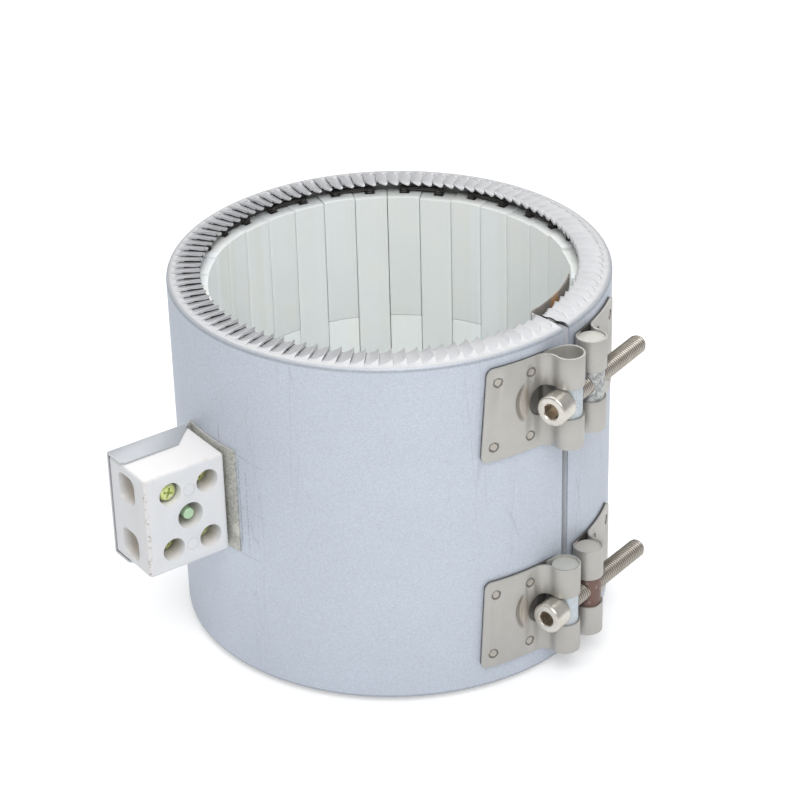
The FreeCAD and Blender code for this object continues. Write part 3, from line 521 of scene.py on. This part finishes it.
def screw_nickel(name, seat, direction):
    """Nickel-plated cap screw: bright head, brown film in the thread's roots."""
    paint = Paint(name, Metallic=0.85)
    grain = paint.noise(1.5, 3.0, 0.7)
    cloud = paint.noise(0.16, 3.0, 0.65)
    x, y, z = paint.axes()
    dx, dy, dz = direction
    sx, sy, sz = seat
    along = (x - sx) * dx + (y - sy) * dy + (z - sz) * dz
    reach = (x - sx) ** 2.0 + (y - sy) ** 2.0 + (z - sz) ** 2.0
    away = (reach - along * along).at_least(0.0) ** 0.5
    thread = along.band(-0.3, 0.2)
    root = away.band(3.95, 3.45) * thread
    hollow = away.band(3.55, 3.2) * along.band(-1.0, -2.0)
    colour = paint.blend(cloud.band(0.35, 0.7), (0.80, 0.775, 0.72), (0.66, 0.63, 0.57))
    colour = paint.blend(thread * 0.55, colour, (0.40, 0.36, 0.31))
    colour = paint.blend(root * 0.75, colour, (0.15, 0.12, 0.10))
    colour = paint.blend(hollow * 0.7, colour, (0.30, 0.22, 0.14))
    colour = paint.shade(colour, 0.88 + grain * 0.2)
    return paint.finish(
        Base_Color=colour, Roughness=0.24 + grain * 0.14 + thread * 0.08,
        Normal=paint.bump(grain, 0.03, 0.5))


def block_ceramic():
    """Cream-white terminal ceramic with rubbed, stained edges and generic rings, painted light on
    its tops and painted shade inside its holes.
    """
    paint = Paint("terminal_ceramic", Specular_IOR_Level=0.4)
    x, y, z = paint.axes()
    cloud = paint.noise(0.09, 3.0, 0.6)
    grain = paint.noise(1.1, 3.0, 0.7)
    warm = paint.noise(0.35, 3.0, 0.7)
    colour = paint.blend(cloud, (0.745, 0.76, 0.785), (0.775, 0.78, 0.79))
    depth_in = (y - (BLOCK_FACE_Y + 0.4)).band(0.0, 5.0)
    side_in = (x - (BLOCK_OUTER_X + 0.4)).band(0.0, 4.0)
    hollow = depth_in * side_in
    # painted light: faces that look up are made lighter, as the overhead light falls on them
    colour = paint.blend(paint.facing_up().band(0.5, 0.95), colour, (0.92, 0.90, 0.895))
    # painted shade: faces behind the front and outer faces, inside the holes and wire entries, are
    # made warm grey-brown
    inside = hollow * (z - TERMINAL_Z).size().band(22.0, 20.5) * (x + 94.5).band(0.0, -1.5)
    inside = inside * (y - 12.6).band(0.0, -0.6)
    colour = paint.blend(inside * 0.62, colour, (0.52, 0.475, 0.415))
    along_edge = (x - BLOCK_OUTER_X) + (y - BLOCK_FACE_Y)
    edge = along_edge.band(2.6, 1.0)
    colour = paint.blend(edge * 0.30, colour, (0.74, 0.69, 0.66))
    rubbed = (along_edge + (warm - 0.5) * 2.4).band(1.5, 0.9)
    rubbed = rubbed * paint.noise(0.5, 3.0, 0.7).band(0.52, 0.60)
    colour = paint.blend(rubbed * 0.8, colour, (0.36, 0.30, 0.27))
    top_edge = (z - 26.4).band(-1.4, -0.3) * (y - BLOCK_FACE_Y).band(2.0, 0.5)
    colour = paint.blend(top_edge * warm.band(0.48, 0.62) * 0.35, colour, (0.66, 0.60, 0.50))
    specks = paint.cells(0.32).band(0.10, 0.04) * warm.band(0.40, 0.5)
    colour = paint.blend(specks * 0.35, colour, (0.42, 0.40, 0.38))
    rings = []
    for pole in EMBOSSED_RINGS:
        away = ((x - STUD_X) ** 2.0 + (z - pole) ** 2.0) ** 0.5
        rings.append((away - 2.6).size().band(0.42, 0.12))
    ring = strongest(rings)
    ring = ring * (y - BLOCK_FACE_Y).band(1.0, 0.4)
    colour = paint.blend(ring * 0.35, colour, (0.66, 0.60, 0.61))
    colour = paint.shade(colour, 0.94 + grain * 0.10)
    return paint.finish(
        Base_Color=colour, Roughness=0.42 + grain * 0.2 + inside * 0.2,
        Normal=paint.bump(grain * 0.5 + ring * 1.2 - specks * 0.8 + warm * 0.4 * edge, 0.16, 0.6))


def bracket_sheet():
    """Bracket: blue-grey sheet, scuffed bright along its edges, rough where it was welded."""
    paint = Paint("bracket_sheet", Metallic=0.45)
    x, y, z = paint.axes()
    grain = paint.noise(1.8, 3.0, 0.7)
    cloud = paint.noise(0.12, 3.0, 0.6)
    base = paint.radius().band(94.4, 93.2)
    rough_skin = paint.noise(0.9, 4.0, 0.8)
    colour = paint.blend(cloud, (0.475, 0.495, 0.53), (0.54, 0.555, 0.575))
    colour = paint.shade(colour, 0.88 + grain * 0.22)
    plate = paint.blend(rough_skin.band(0.40, 0.62), (0.62, 0.62, 0.57), (0.40, 0.40, 0.37))
    colour = paint.blend(base, colour, plate)
    edge = (z - 28.2).size().band(0.35, 0.1).at_least((x + 130.8).size().band(0.5, 0.15))
    colour = paint.blend(edge * 0.6, colour, (0.72, 0.71, 0.69))
    away = ((y + 17.0) ** 2.0 + (z + 9.0) ** 2.0) ** 0.5 + (rough_skin - 0.5) * 4.0
    weld = away.band(4.0, 1.6) * base
    colour = paint.blend(weld * 0.7, colour, (0.78, 0.78, 0.72))
    return paint.finish(
        Base_Color=colour, Roughness=0.40 + grain * 0.15 + base * 0.1,
        Normal=paint.bump(grain * 0.3 + rough_skin * base * 1.2 + weld * 2.0, 0.25, 0.7))


def yellow_zinc():
    """Yellow-green passivated zinc."""
    paint = Paint("yellow_zinc", Metallic=0.8)
    grain = paint.noise(1.0, 3.0, 0.7)
    film = paint.noise(0.5, 2.0, 0.6)
    colour = paint.blend(film.band(0.35, 0.65), (0.66, 0.74, 0.28), (0.78, 0.82, 0.52))
    colour = paint.shade(colour, 0.85 + grain * 0.25)
    return paint.finish(
        Base_Color=colour, Roughness=0.26 + grain * 0.14, Normal=paint.bump(grain, 0.04, 0.5))


def pale_zinc():
    """Sawn end and thread of the stud: pale green."""
    paint = Paint("pale_green_zinc", Metallic=0.5)
    grain = paint.noise(1.4, 3.0, 0.7)
    return paint.finish(
        Base_Color=paint.shade((0.50, 0.70, 0.46), 0.85 + grain * 0.3),
        Roughness=0.42 + grain * 0.1, Normal=paint.bump(grain, 0.04, 0.5))


def brass():
    """Turned brass insert."""
    paint = Paint("brass_insert", Metallic=0.9)
    grain = paint.noise(1.2, 3.0, 0.6, paint.stretched(paint.place(), (0.3, 2.0, 2.0)))
    return paint.finish(
        Base_Color=paint.shade((0.66, 0.50, 0.22), 0.85 + grain * 0.25),
        Roughness=0.30 + grain * 0.15, Normal=paint.bump(grain, 0.03, 0.5))


# ---------------------------------------------------------------- mesh helpers


def mesh_piece(name, vertices, faces, finishes, slots=None, sharp=40.0):
    """A piece of the band from points in millimetres."""
    data = bpy.data.meshes.new(name)
    data.from_pydata([Vector(v) * MM for v in vertices], [], faces)
    piece = bpy.data.objects.new(name, data)
    bpy.context.scene.collection.objects.link(piece)
    for finish in finishes:
        data.materials.append(finish)
    if slots:
        data.polygons.foreach_set("material_index", slots)
    data.shade_smooth()
    data.set_sharp_from_angle(angle=math.radians(sharp))
    return piece


def stands_for(piece, node, body="band"):
    """Puts a piece in a CAD node's place."""
    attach(piece, body)
    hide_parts(node)
    return piece


def rounded(node, finish, width, steps=2, angle=32.0):
    """A node's own form with its edges rounded, in the node's place."""
    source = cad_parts[node]
    data = source.data.copy()
    piece = bpy.data.objects.new("soft_" + node, data)
    bpy.context.scene.collection.objects.link(piece)
    shape = bmesh.new()
    shape.from_mesh(data)
    bmesh.ops.remove_doubles(shape, verts=shape.verts, dist=2e-6)
    bmesh.ops.dissolve_limit(
        shape, angle_limit=math.radians(1.0), verts=shape.verts, edges=shape.edges)
    shape.to_mesh(data)
    shape.free()
    data.materials.clear()
    data.materials.append(finish)
    soft = piece.modifiers.new("edges", "BEVEL")
    soft.width = width * MM
    soft.segments = steps
    soft.limit_method = "ANGLE"
    soft.angle_limit = math.radians(angle)
    soft.use_clamp_overlap = True
    bake_modifiers(piece)
    data = piece.data
    data.shade_smooth()
    data.set_sharp_from_angle(angle=math.radians(30.0))
    return stands_for(piece, node)


def bake_modifiers(piece):
    """Applies a piece's modifiers to its mesh."""
    view = bpy.context.evaluated_depsgraph_get()
    made = bpy.data.meshes.new_from_object(piece.evaluated_get(view))
    piece.modifiers.clear()
    piece.data = made


def stretch_end(piece, level, rise):
    """Moves the upper end of a piece, all that lies above a level, by a rise in millimetres."""
    for vertex in piece.data.vertices:
        if vertex.co.z > level * MM:
            vertex.co.z += rise * MM


def repaint(node, finish):
    """A new finish on a node that keeps its own mesh."""
    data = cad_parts[node].data
    data.materials.clear()
    data.materials.append(finish)


# ---------------------------------------------------------------- shell


def gap_edge(radius):
    """Angle from the gap's middle to its edge at a radius."""
    return math.degrees(math.asin(GAP_HALF / radius))


def shell_angle(share, radius):
    """Angle of a share of the way round, 0 and 1 being the two ends of the band."""
    edge = gap_edge(radius)
    return GAP_ANGLE + edge + share * (360.0 - 2 * edge)


def shell_section():
    """Closed section of the wall and its two folds, from the upper rim down and back."""
    corner_r = SHELL_RADIUS - RIM_BEND
    corner_z = HALF_HEIGHT - RIM_BEND
    turns = [math.radians(90.0 - 15.0 * k) for k in range(7)]
    outer = [(corner_r + RIM_BEND * math.cos(t), corner_z + RIM_BEND * math.sin(t)) for t in turns]
    bend = RIM_BEND - SHEET
    inner = [(corner_r + bend * math.cos(t), corner_z + bend * math.sin(t)) for t in turns[::2]]
    wall = [(SHELL_RADIUS, corner_z * k / 4.0) for k in (2, 0, -2)]
    lower_outer = [(r, -z) for r, z in reversed(outer)]
    lower_inner = [(r, -z) for r, z in inner]
    return outer + wall + lower_outer + lower_inner + inner[::-1]


class Rim:
    """One pleat's own measures, in millimetres."""

    def __init__(self, number):
        first = number == 0
        open_side = ease(number, 33, 39) * (1.0 - ease(number, 69, 73))
        half_open = ease(number, 69, 73) * (1.0 - ease(number, 81, 85))
        self.height = 1.72 * chance.uniform(0.90, 1.07) * (0.6 if first else 1.0)
        self.hollow = chance.uniform(0.36, 0.52)
        self.slot = chance.uniform(0.22, 0.34) + 0.46 * open_side + 0.42 * half_open
        closed = chance.uniform(0.5, 0.9) * (1.0 - half_open)
        self.close = closed + half_open * chance.uniform(0.05, 0.5)
        self.start = chance.uniform(1.5, 2.0)
        self.lean = chance.uniform(-0.5, 0.5)
        self.crumple = 0.28 if first else 0.0

    def begin(self, share):
        """Where the hollow begins, in from the smooth rim."""
        away = abs(min(max(share, 0.0), 0.66) - 0.33) / 0.33
        return self.start + 0.75 * away ** 2.2 + 2.5 * max(share - 0.66, 0.0) / 0.34

    def ramp(self, share):
        """Climb of the sheet from the hollow to the ridge, 0 to 1."""
        climb = min(max((share - 0.20) / 0.80, 0.0), 1.0)
        return climb * (0.70 + 0.30 * climb)

    def ridge(self, depth):
        """Height of the ridge at a depth in from the smooth rim."""
        quick = ease(depth, self.start - 0.6, self.start + 1.5)
        return self.height * (0.60 * quick + 0.40 * ease(depth, self.start, 11.5))

    def level(self, share, depth, hollowed):
        """Height of the sheet over the flat rim."""
        ramp = self.ramp(share)
        sunk = self.hollow * (1.0 - ramp) if hollowed else 0.0
        crease = self.crumple * math.sin(share * 17.0 + depth * 1.1) * ease(depth, 2.5, 5.0)
        return self.ridge(depth) * ramp - sunk + crease

    def opening(self, depth):
        """Height of the dark slot under the ridge."""
        return self.slot * (1.0 - (1.0 - self.close) * ease(depth, 4.0, 10.5))


# FOLD_SHADOW faces take the near-black painted shadow inside the folds and slots
WALL, BRIGHT_RIM, FOLD_SHADOW, PLEAT_FACE = range(4)
SHARES = (-0.24, -0.08, 0.0, 0.08, 0.20, 0.33, 0.48, 0.62, 0.76, 0.88, 0.97, 1.0)
LAND_ROWS = (0.0, 0.5, 0.85, 1.0)
HOLLOW_ROWS = (0.0, 0.07, 0.20, 0.38, 0.58, 0.78, 0.95)
EDGE_STEP = 0.24
WALL_STEPS = 4
INNER_LIP = ((11.45, 0.12, 0.35), (11.85, 0.45, 0.6), (12.0, 1.0, 0.7))


def pleat_points(rim, number, share):
    """Upper and under points of one column of a pleat, as (radius, angle, height)."""
    outer = SHELL_RADIUS - RIM_BEND
    seen = max(share, 0.0)
    begin = rim.begin(seen)
    rows = [(begin * part, False) for part in LAND_ROWS]
    rows += [(begin + EDGE_STEP + (11.2 - begin - EDGE_STEP) * part, True) for part in HOLLOW_ROWS]
    upper = []
    under = []
    for depth, hollowed in rows:
        level = rim.level(seen, depth, hollowed)
        if share < 0.0:
            level -= 0.04 + 0.2 * (0.0 if hollowed else 1.0)
        if share >= 1.0:
            level -= 0.12
        floor = -rim.hollow * (1.0 if hollowed else 0.0)
        low = level - 0.5
        if seen > 0.5:
            top_of_slot = floor + (rim.opening(depth) if hollowed else -0.1)
            mix = ease(seen, 0.5, 0.80)
            low = (level - 0.5) * (1.0 - mix) + min(top_of_slot, level - 0.25) * mix
        angle_share = (number + share + rim.lean * 0.03 * depth / 12.0) / PLEAT_COUNT
        angle_share = min(max(angle_share, 0.0), 1.0)
        upper.append((outer - depth, angle_share, level))
        under.append((outer - depth, angle_share, low))
    edge = rim.level(seen, 11.4, True)
    if share < 0.0:
        edge -= 0.04
    if share >= 1.0:
        edge -= 0.12
    finger = ease(share, -0.10, 0.16) * (1.0 - ease(share, 0.80, 0.97))
    angle_share = min(max((number + share + rim.lean * 0.03) / PLEAT_COUNT, 0.0), 1.0)
    for depth, droop, inside in INNER_LIP:
        top = edge - droop * (0.15 + 0.95 * finger)
        low = min(top - 0.12, under[-1][2])
        if inside >= 0.7:
            low -= 0.02
        upper.append((outer - depth, angle_share, top))
        under.append((outer - depth + inside * 0.8, angle_share, low))
    return upper, under


def pleat(number, side, vertices, faces, slots):
    """Adds one pleat to the shell; side is 1 for the upper rim and -1 for the lower."""
    rim = Rim(number)
    start = len(vertices)
    columns = [pleat_points(rim, number, share) for share in SHARES]
    deep = len(columns[0][0])
    for upper, under in columns:
        for radius, share, level in upper + under:
            place = polar(radius, shell_angle(share, radius))
            vertices.append((place.x, place.y, side * (HALF_HEIGHT + level)))

    def at(column, row, low=0):
        return start + (column * 2 + low) * deep + row

    def face(corners, slot):
        faces.append(corners if side > 0 else corners[::-1])
        slots.append(slot)

    last_column = len(SHARES) - 1
    last_row = deep - 1
    for c in range(last_column):
        d = c + 1
        for row in range(last_row):
            below = row + 1
            land = row < len(LAND_ROWS)
            slot = PLEAT_FACE
            if SHARES[d] <= 0.0 and not land:
                slot = FOLD_SHADOW
            elif land or row > last_row - 3:
                slot = BRIGHT_RIM
            face([at(c, row), at(d, row), at(d, below), at(c, below)], slot)
            slot = FOLD_SHADOW if SHARES[c] >= 0.48 and not land else PLEAT_FACE
            face([at(c, row, 1), at(c, below, 1), at(d, below, 1), at(d, row, 1)], slot)
        face([at(c, 0), at(c, 0, 1), at(d, 0, 1), at(d, 0)], BRIGHT_RIM)
        face([at(c, last_row), at(d, last_row), at(d, last_row, 1), at(c, last_row, 1)], BRIGHT_RIM)
    for row in range(last_row):
        below = row + 1
        face([at(0, row), at(0, below), at(0, below, 1), at(0, row, 1)], FOLD_SHADOW)
        face([at(last_column, row), at(last_column, row, 1),
              at(last_column, below, 1), at(last_column, below)], BRIGHT_RIM)


def outer_shell():
    """The rolled band with its folded, pleated rims."""
    section = shell_section()
    columns = PLEAT_COUNT * WALL_STEPS
    vertices = []
    faces = []
    slots = []
    for column in range(columns + 1):
        for radius, height in section:
            place = polar(radius, shell_angle(column / columns, radius), height)
            vertices.append(tuple(place))
    count = len(section)
    for column in range(columns):
        for i in range(count):
            j = (i + 1) % count
            here = column * count
            there = here + count
            faces.append((here + i, here + j, there + j, there + i))
            slots.append(WALL)
    faces.append(tuple(range(count))[::-1])
    faces.append(tuple(range(columns * count, (columns + 1) * count)))
    slots += [WALL, WALL]
    for side in (1, -1):
        for number in range(PLEAT_COUNT):
            pleat(number, side, vertices, faces, slots)
    piece = mesh_piece(
        "pleated_shell", vertices, faces,
        [aluminised(), rim_metal(), slot_shadow(), hollow_metal()], slots, sharp=38.0)
    return stands_for(piece, "outer_shell")


outer_shell()

# ---------------------------------------------------------------- lining

ceramic = tile_ceramic()
for number in range(1, TILE_COUNT + 1):
    column = rounded("tile_column_%02d" % number, ceramic, 0.45)
    stretch_end(column, 60.0, chance.uniform(-0.9, 0.5))
repaint("fibre_blanket", ceramic_fibre())
wire = resistance_wire()
# the leads take the same near-black painted shade
for node in ("heating_coil", "lead_upper", "lead_lower"):
    repaint(node, wire)
end_sheet = end_sheet_painted_shade()
tongue = rounded("gap_tongue", end_sheet, 0.18)
stretch_end(tongue, 76.5, 1.6)
rounded("gap_end_wall", end_sheet, 0.15)

# ---------------------------------------------------------------- clamps


def barrel_middle(which, side):
    """Centre of a clamp barrel: side -1 is the plain one, 1 the tapped one."""
    height, lift = CLAMPS[which]
    radius = BARREL_SEAT + (lift if side < 0 else TAPPED_LIFT)
    angle = GAP_ANGLE + side * math.degrees(math.asin(BARREL_SPACING / 2 / radius))
    return radius, angle, height


LEANS = {
    # crooked far edge of a left strap: further along at its foot, and along as a whole
    "upper": (1.5, 0.2),
    "lower": (1.1, 1.2),
}


def lean_shift(which, along, up):
    """How far along the shell a left strap's sheet is moved, in millimetres."""
    lean, whole = LEANS[which]
    return ease(along, 7.0, 34.0) * (whole - lean * up / 20.5)


def weld_places(which, side):
    """Spot welds of a strap as places along it and up it."""
    places = []
    for along in (13.6, 29.5):
        for up in (14.2, -14.2):
            shift = lean_shift(which, along, up) if side < 0 else 0.0
            places.append((along + shift, up))
    return places


def lean_strap(piece, which, angle, height):
    """Moves a left strap's far edge as it was welded on, a little crooked."""
    for vertex in piece.data.vertices:
        x, y, z = vertex.co / MM
        here = math.degrees(math.atan2(y, x))
        along = (angle - here) * math.radians(1.0) * SHELL_RADIUS
        shift = lean_shift(which, along, z - height)
        place = polar(math.hypot(x, y), here - math.degrees(shift / SHELL_RADIUS), z)
        vertex.co = place * MM


BARREL_FINISHES = {
    ("upper", -1): zinc("blue_zinc", (0.60, 0.66, 0.70), 0.25),
    ("lower", -1): zinc("blue_zinc_clean", (0.62, 0.68, 0.72), 0.12),
    ("upper", 1): zinc("speckled_zinc", (0.58, 0.60, 0.59), 0.85),
    ("lower", 1): zinc("rusted_zinc", (0.50, 0.49, 0.47), 0.5, rust=0.9),
}
for which in ("upper", "lower"):
    for side, hand, kind in ((-1, "left", "plain"), (1, "right", "tapped")):
        radius, angle, height = barrel_middle(which, side)
        nickel = strap_nickel(
            "strap_%s_%s" % (which, hand), (angle, height), side, weld_places(which, side))
        folded = rounded("clamp_%s_strap_%s" % (which, hand), nickel, 0.16)
        if side < 0:
            lean_strap(folded, which, angle, height)
        finish = BARREL_FINISHES[which, side]
        rounded("clamp_%s_barrel_%s" % (which, kind), finish, 0.35)


def ring_faces(rings, steps):
    """Faces of a tube made of rings of points, closed at both ends."""
    faces = []
    for i in range(rings - 1):
        here, there = i * steps, (i + 1) * steps
        for k in range(steps):
            m = (k + 1) % steps
            faces.append((here + k, here + m, there + m, there + k))
    faces.append(tuple(range(steps))[::-1])
    faces.append(tuple(range((rings - 1) * steps, rings * steps)))
    return faces


def lathe(name, profile, finish, steps=64):
    """Turned form round +Z from (radius, height) pairs, in millimetres, closed at both ends."""
    vertices = []
    for radius, height in profile:
        for k in range(steps):
            turn = 2 * math.pi * k / steps
            vertices.append((radius * math.cos(turn), radius * math.sin(turn), height))
    return mesh_piece(name, vertices, ring_faces(len(profile), steps), [finish], sharp=35.0)


def carve(piece, tools):
    """Cuts closed tool pieces out of a piece."""
    for tool in tools:
        cut = piece.modifiers.new("cut", "BOOLEAN")
        cut.operation = "DIFFERENCE"
        cut.solver = "EXACT"
        cut.object = tool
        bake_modifiers(piece)
        bpy.data.objects.remove(tool)


def prism(foot, top, finish):
    """A closed cutting tool between two outlines of as many points."""
    count = len(foot)
    faces = [(k, (k + 1) % count, count + (k + 1) % count, count + k) for k in range(count)]
    faces += [tuple(range(count))[::-1], tuple(range(count, 2 * count))]
    return mesh_piece("tool", foot + top, faces, [finish])


def threaded(name, finish, radius, pitch, start, end, steps, rings):
    """External thread round +Z with a chamfered point; rings is rows of points in a turn."""
    depth = pitch * 0.55
    total = int((end - start) / pitch * rings)
    vertices = []
    for row in range(total + 1):
        height = start + (end - start) * row / total
        crest = radius - max(0.0, 1.0 - (end - height) / 1.1)
        cut_depth = depth * (0.35 + 0.65 * min(1.0, (end - height) / 1.2))
        for k in range(steps):
            phase = ((height - start) / pitch - k / steps) % 1.0
            tooth = min(max((abs(phase * 2.0 - 1.0) - 0.08) / 0.80, 0.0), 1.0)
            reach = crest - cut_depth * tooth
            turn = 2 * math.pi * k / steps
            vertices.append((reach * math.cos(turn), reach * math.sin(turn), height))
    return mesh_piece(name, vertices, ring_faces(total + 1, steps), [finish], sharp=50.0)


CAP_HEAD = (
    # radius, height: from the top of the head to its seat on the barrel
    (5.4, -8.0), (5.8, -7.95), (6.15, -7.75), (6.42, -7.35), (6.5, -6.9), (6.5, 0.45),
    (6.42, 0.12), (6.1, 0.0), (3.9, 0.05), (3.9, 1.2),
)
SOCKET_MOUTH = ((4.05, -8.4), (3.35, -7.7), (2.2, -7.0))
SOCKET_CORNER = 3.46
CAP_TURNS = {"upper": 17.0, "lower": 41.0}


def cap_screw(which):
    """Socket-head clamp screw with its thread cut, laid along its CAD axis."""
    near = polar(*barrel_middle(which, -1))
    far = polar(*barrel_middle(which, 1))
    direction = (far - near).normalized()
    seat = near - direction * HEAD_SEAT
    node = "clamp_%s_screw" % which
    finish = screw_nickel("cap_screw_" + which, seat, direction)
    shank = threaded("thread_" + which, finish, 3.98, 1.25, 0.6, 60.0, 48, 10)
    head = lathe("head_" + which, CAP_HEAD, finish, 96)
    hexagon = [polar(SOCKET_CORNER, 60.0 * k) for k in range(6)]
    socket = prism(
        [(p.x, p.y, -8.6) for p in hexagon], [(p.x, p.y, -3.6) for p in hexagon], finish)
    mouth = lathe("mouth_tool", SOCKET_MOUTH, finish, 48)
    carve(head, [socket, mouth])
    aim = Vector((0, 0, 1)).rotation_difference(direction).to_matrix().to_4x4()
    spin = Matrix.Rotation(math.radians(CAP_TURNS[which]), 4, "Z")
    screw = join_pieces("cap_screw_" + which, [shank, head])
    screw.data.transform(Matrix.Translation(seat * MM) @ aim @ spin)
    stands_for(screw, node, node)


def join_pieces(name, pieces):
    """One piece from several, each a closed form of its own."""
    shape = bmesh.new()
    for piece in pieces:
        shape.from_mesh(piece.data)
    data = bpy.data.meshes.new(name)
    shape.to_mesh(data)
    shape.free()
    for finish in pieces[0].data.materials:
        data.materials.append(finish)
    data.shade_smooth()
    data.set_sharp_from_angle(angle=math.radians(38.0))
    made = bpy.data.objects.new(name, data)
    bpy.context.scene.collection.objects.link(made)
    for piece in pieces:
        bpy.data.objects.remove(piece)
    return made


for which in ("upper", "lower"):
    cap_screw(which)

# ---------------------------------------------------------------- terminal

rounded("terminal_bracket", bracket_sheet(), 0.12)
rounded("terminal_block", block_ceramic(), 0.5, 3, angle=40.0)
insert_brass = brass()
for node in ("terminal_insert_upper", "terminal_insert_lower"):
    rounded(node, insert_brass, 0.25)
screw_zinc = yellow_zinc()
rounded("terminal_nut", screw_zinc, 0.25)


def from_block_face(piece, x, depth, z, steepness):
    """Sets a turned piece in the block, with its axis across the block's face."""
    aim = Matrix.Rotation(math.radians(steepness), 4, "X")
    seat = Vector((x, BLOCK_FACE_Y + depth, z)) * MM
    piece.data.transform(Matrix.Translation(seat) @ aim)


STUD = (
    # radius, height from the foot
    (2.0, 0.0), (2.0, 10.5), (2.45, 10.8), (2.45, 25.5), (2.35, 25.9), (2.1, 26.1),
)
STUD_FOOT_DEPTH = 27.5
stud = lathe("threaded_stud", STUD, pale_zinc(), 48)
from_block_face(stud, STUD_X, STUD_FOOT_DEPTH, TERMINAL_Z, 90.0)
stands_for(stud, "terminal_stud")

PAN_HEAD = (
    # radius, depth below the crown
    (1.4, 3.1), (1.4, 2.5), (3.6, 2.6), (3.94, 2.45), (4.0, 2.1), (3.92, 1.35),
    (3.6, 0.70), (2.9, 0.24), (1.7, 0.03), (0.5, 0.0),
)
CROSS_MOUTH = (2.65, 0.60, -0.6)
CROSS_FLOOR = (1.4, 0.38, 1.6)


def cross_outline(half_length, half_width, level, turn):
    """Corners of one arm of a cross recess, turned about the screw's axis."""
    spin = Matrix.Rotation(math.radians(turn), 3, "Z")
    corners = ((-1, -1), (1, -1), (1, 1), (-1, 1))
    return [spin @ Vector((sx * half_length, sy * half_width, level)) for sx, sy in corners]


def terminal_screw(node, x, z, depth, turn):
    """Pan-head terminal screw with a cross recess."""
    head = lathe("head_" + node, PAN_HEAD, screw_zinc, 64)
    for polygon in head.data.polygons:
        polygon.flip()
    carve(head, [
        prism(cross_outline(*CROSS_MOUTH, arm), cross_outline(*CROSS_FLOOR, arm), screw_zinc)
        for arm in (0.0, 90.0)])
    shank = threaded("thread_" + node, screw_zinc, 1.98, 0.7, 2.4, 8.5, 24, 6)
    screw = join_pieces("pan_" + node, [head, shank])
    screw.data.transform(Matrix.Rotation(math.radians(turn), 4, "Z"))
    from_block_face(screw, x, depth, z, -90.0)
    stands_for(screw, node, node)


BACKED_OUT = 1.5
DRIVEN = 6.6
OUTER, INNER = SCREW_COLUMNS
UPPER_POLE, LOWER_POLE = POLES
terminal_screw("terminal_screw_outer_upper", OUTER, UPPER_POLE, BACKED_OUT, 18.0)
terminal_screw("terminal_screw_outer_lower", OUTER, LOWER_POLE, DRIVEN, 50.0)
terminal_screw("terminal_screw_inner_upper", INNER, UPPER_POLE, DRIVEN, -12.0)
terminal_screw("terminal_screw_inner_lower", INNER, LOWER_POLE, DRIVEN, 33.0)

# ---------------------------------------------------------------- studio


FLOOR_EDGE = 3.0
FLOOR_DROP = 0.0002
FLOOR_GLOW = 0.34
SKY_LEVEL = 0.36


def studio_floor():
    """Wide pale floor that keeps a soft shadow and shows white to the eye."""
    level = cad_low.z - FLOOR_DROP
    corners = [(sx * FLOOR_EDGE, sy * FLOOR_EDGE, level)
               for sx, sy in ((-1, -1), (1, -1), (1, 1), (-1, 1))]
    data = bpy.data.meshes.new("studio_floor")
    data.from_pydata(corners, [], [(0, 1, 2, 3)])
    floor = bpy.data.objects.new("studio_floor", data)
    bpy.context.scene.collection.objects.link(floor)
    paper = Paint("studio_paper", Roughness=0.95, Specular_IOR_Level=0.0, Emission_Strength=1.0)
    glow = paper.camera_ray().at_least(0.5) * FLOOR_GLOW
    data.materials.append(paper.finish(
        Base_Color=(0.86, 0.865, 0.87), Emission_Color=paper.grey(glow)))


def studio_world():
    """Even light from all round, white where the eye meets it."""
    world = bpy.data.worlds.new("studio")
    bpy.context.scene.world = world
    world.use_nodes = True
    sky = Nodes(world.node_tree)
    background = sky.tree.nodes["Background"]
    sky.join(background.inputs["Color"], (1.0, 1.0, 1.0))
    sky.join(background.inputs["Strength"], sky.camera_ray() * (1.0 - SKY_LEVEL) + SKY_LEVEL)


def bearing(azimuth, elevation):
    """Unit vector towards an azimuth and an elevation, in degrees."""
    tall = math.radians(elevation)
    return polar(math.cos(tall), azimuth, math.sin(tall))


def softbox(name, azimuth, elevation, width, height, power):
    """A rectangular lamp that faces the band."""
    data = bpy.data.lights.new(name, "AREA")
    data.shape = "RECTANGLE"
    data.size = width
    data.size_y = height
    data.energy = power
    lamp = bpy.data.objects.new(name, data)
    bpy.context.scene.collection.objects.link(lamp)
    out = bearing(azimuth, elevation)
    lamp.location = out * LAMP_DISTANCE
    lamp.rotation_mode = "QUATERNION"
    lamp.rotation_quaternion = out.to_track_quat("Z", "Y")


LAMP_DISTANCE = 1.5
CAMERA_AZIMUTH = -125.0
CAMERA_ELEVATION = 29.45
CAMERA_ROLL = -1.5
CAMERA_DISTANCE = 1104.0
CAMERA_TARGET = Vector((2.49, -1.744, 11.8))
CAMERA_LENS = 116.82
CAMERA_SENSOR = 36.0


def studio_camera():
    """The camera, a long lens in front and above, a little out of level."""
    back = bearing(CAMERA_AZIMUTH, CAMERA_ELEVATION)
    right = polar(1.0, CAMERA_AZIMUTH + 90.0)
    up = back.cross(right)
    lean = math.radians(CAMERA_ROLL)
    across = right * math.cos(lean) + up * math.sin(lean)
    above = up * math.cos(lean) - right * math.sin(lean)
    data = bpy.data.cameras.new("camera")
    data.lens = CAMERA_LENS
    data.sensor_width = CAMERA_SENSOR
    data.clip_start = 0.05
    data.clip_end = 20.0
    camera = bpy.data.objects.new("camera", data)
    bpy.context.scene.collection.objects.link(camera)
    place = (CAMERA_TARGET + back * CAMERA_DISTANCE) * MM
    camera.matrix_world = Matrix((
        (across.x, above.x, back.x, place.x),
        (across.y, above.y, back.y, place.y),
        (across.z, above.z, back.z, place.z),
        (0.0, 0.0, 0.0, 1.0)))
    bpy.context.scene.camera = camera


studio_floor()
studio_world()
softbox("overhead", 55.0, 60.0, 1.7, 1.5, 14.2)
softbox("front", -118.0, 50.0, 1.0, 0.9, 12.6)
studio_camera()
bpy.context.scene.view_settings.view_transform = "Standard"
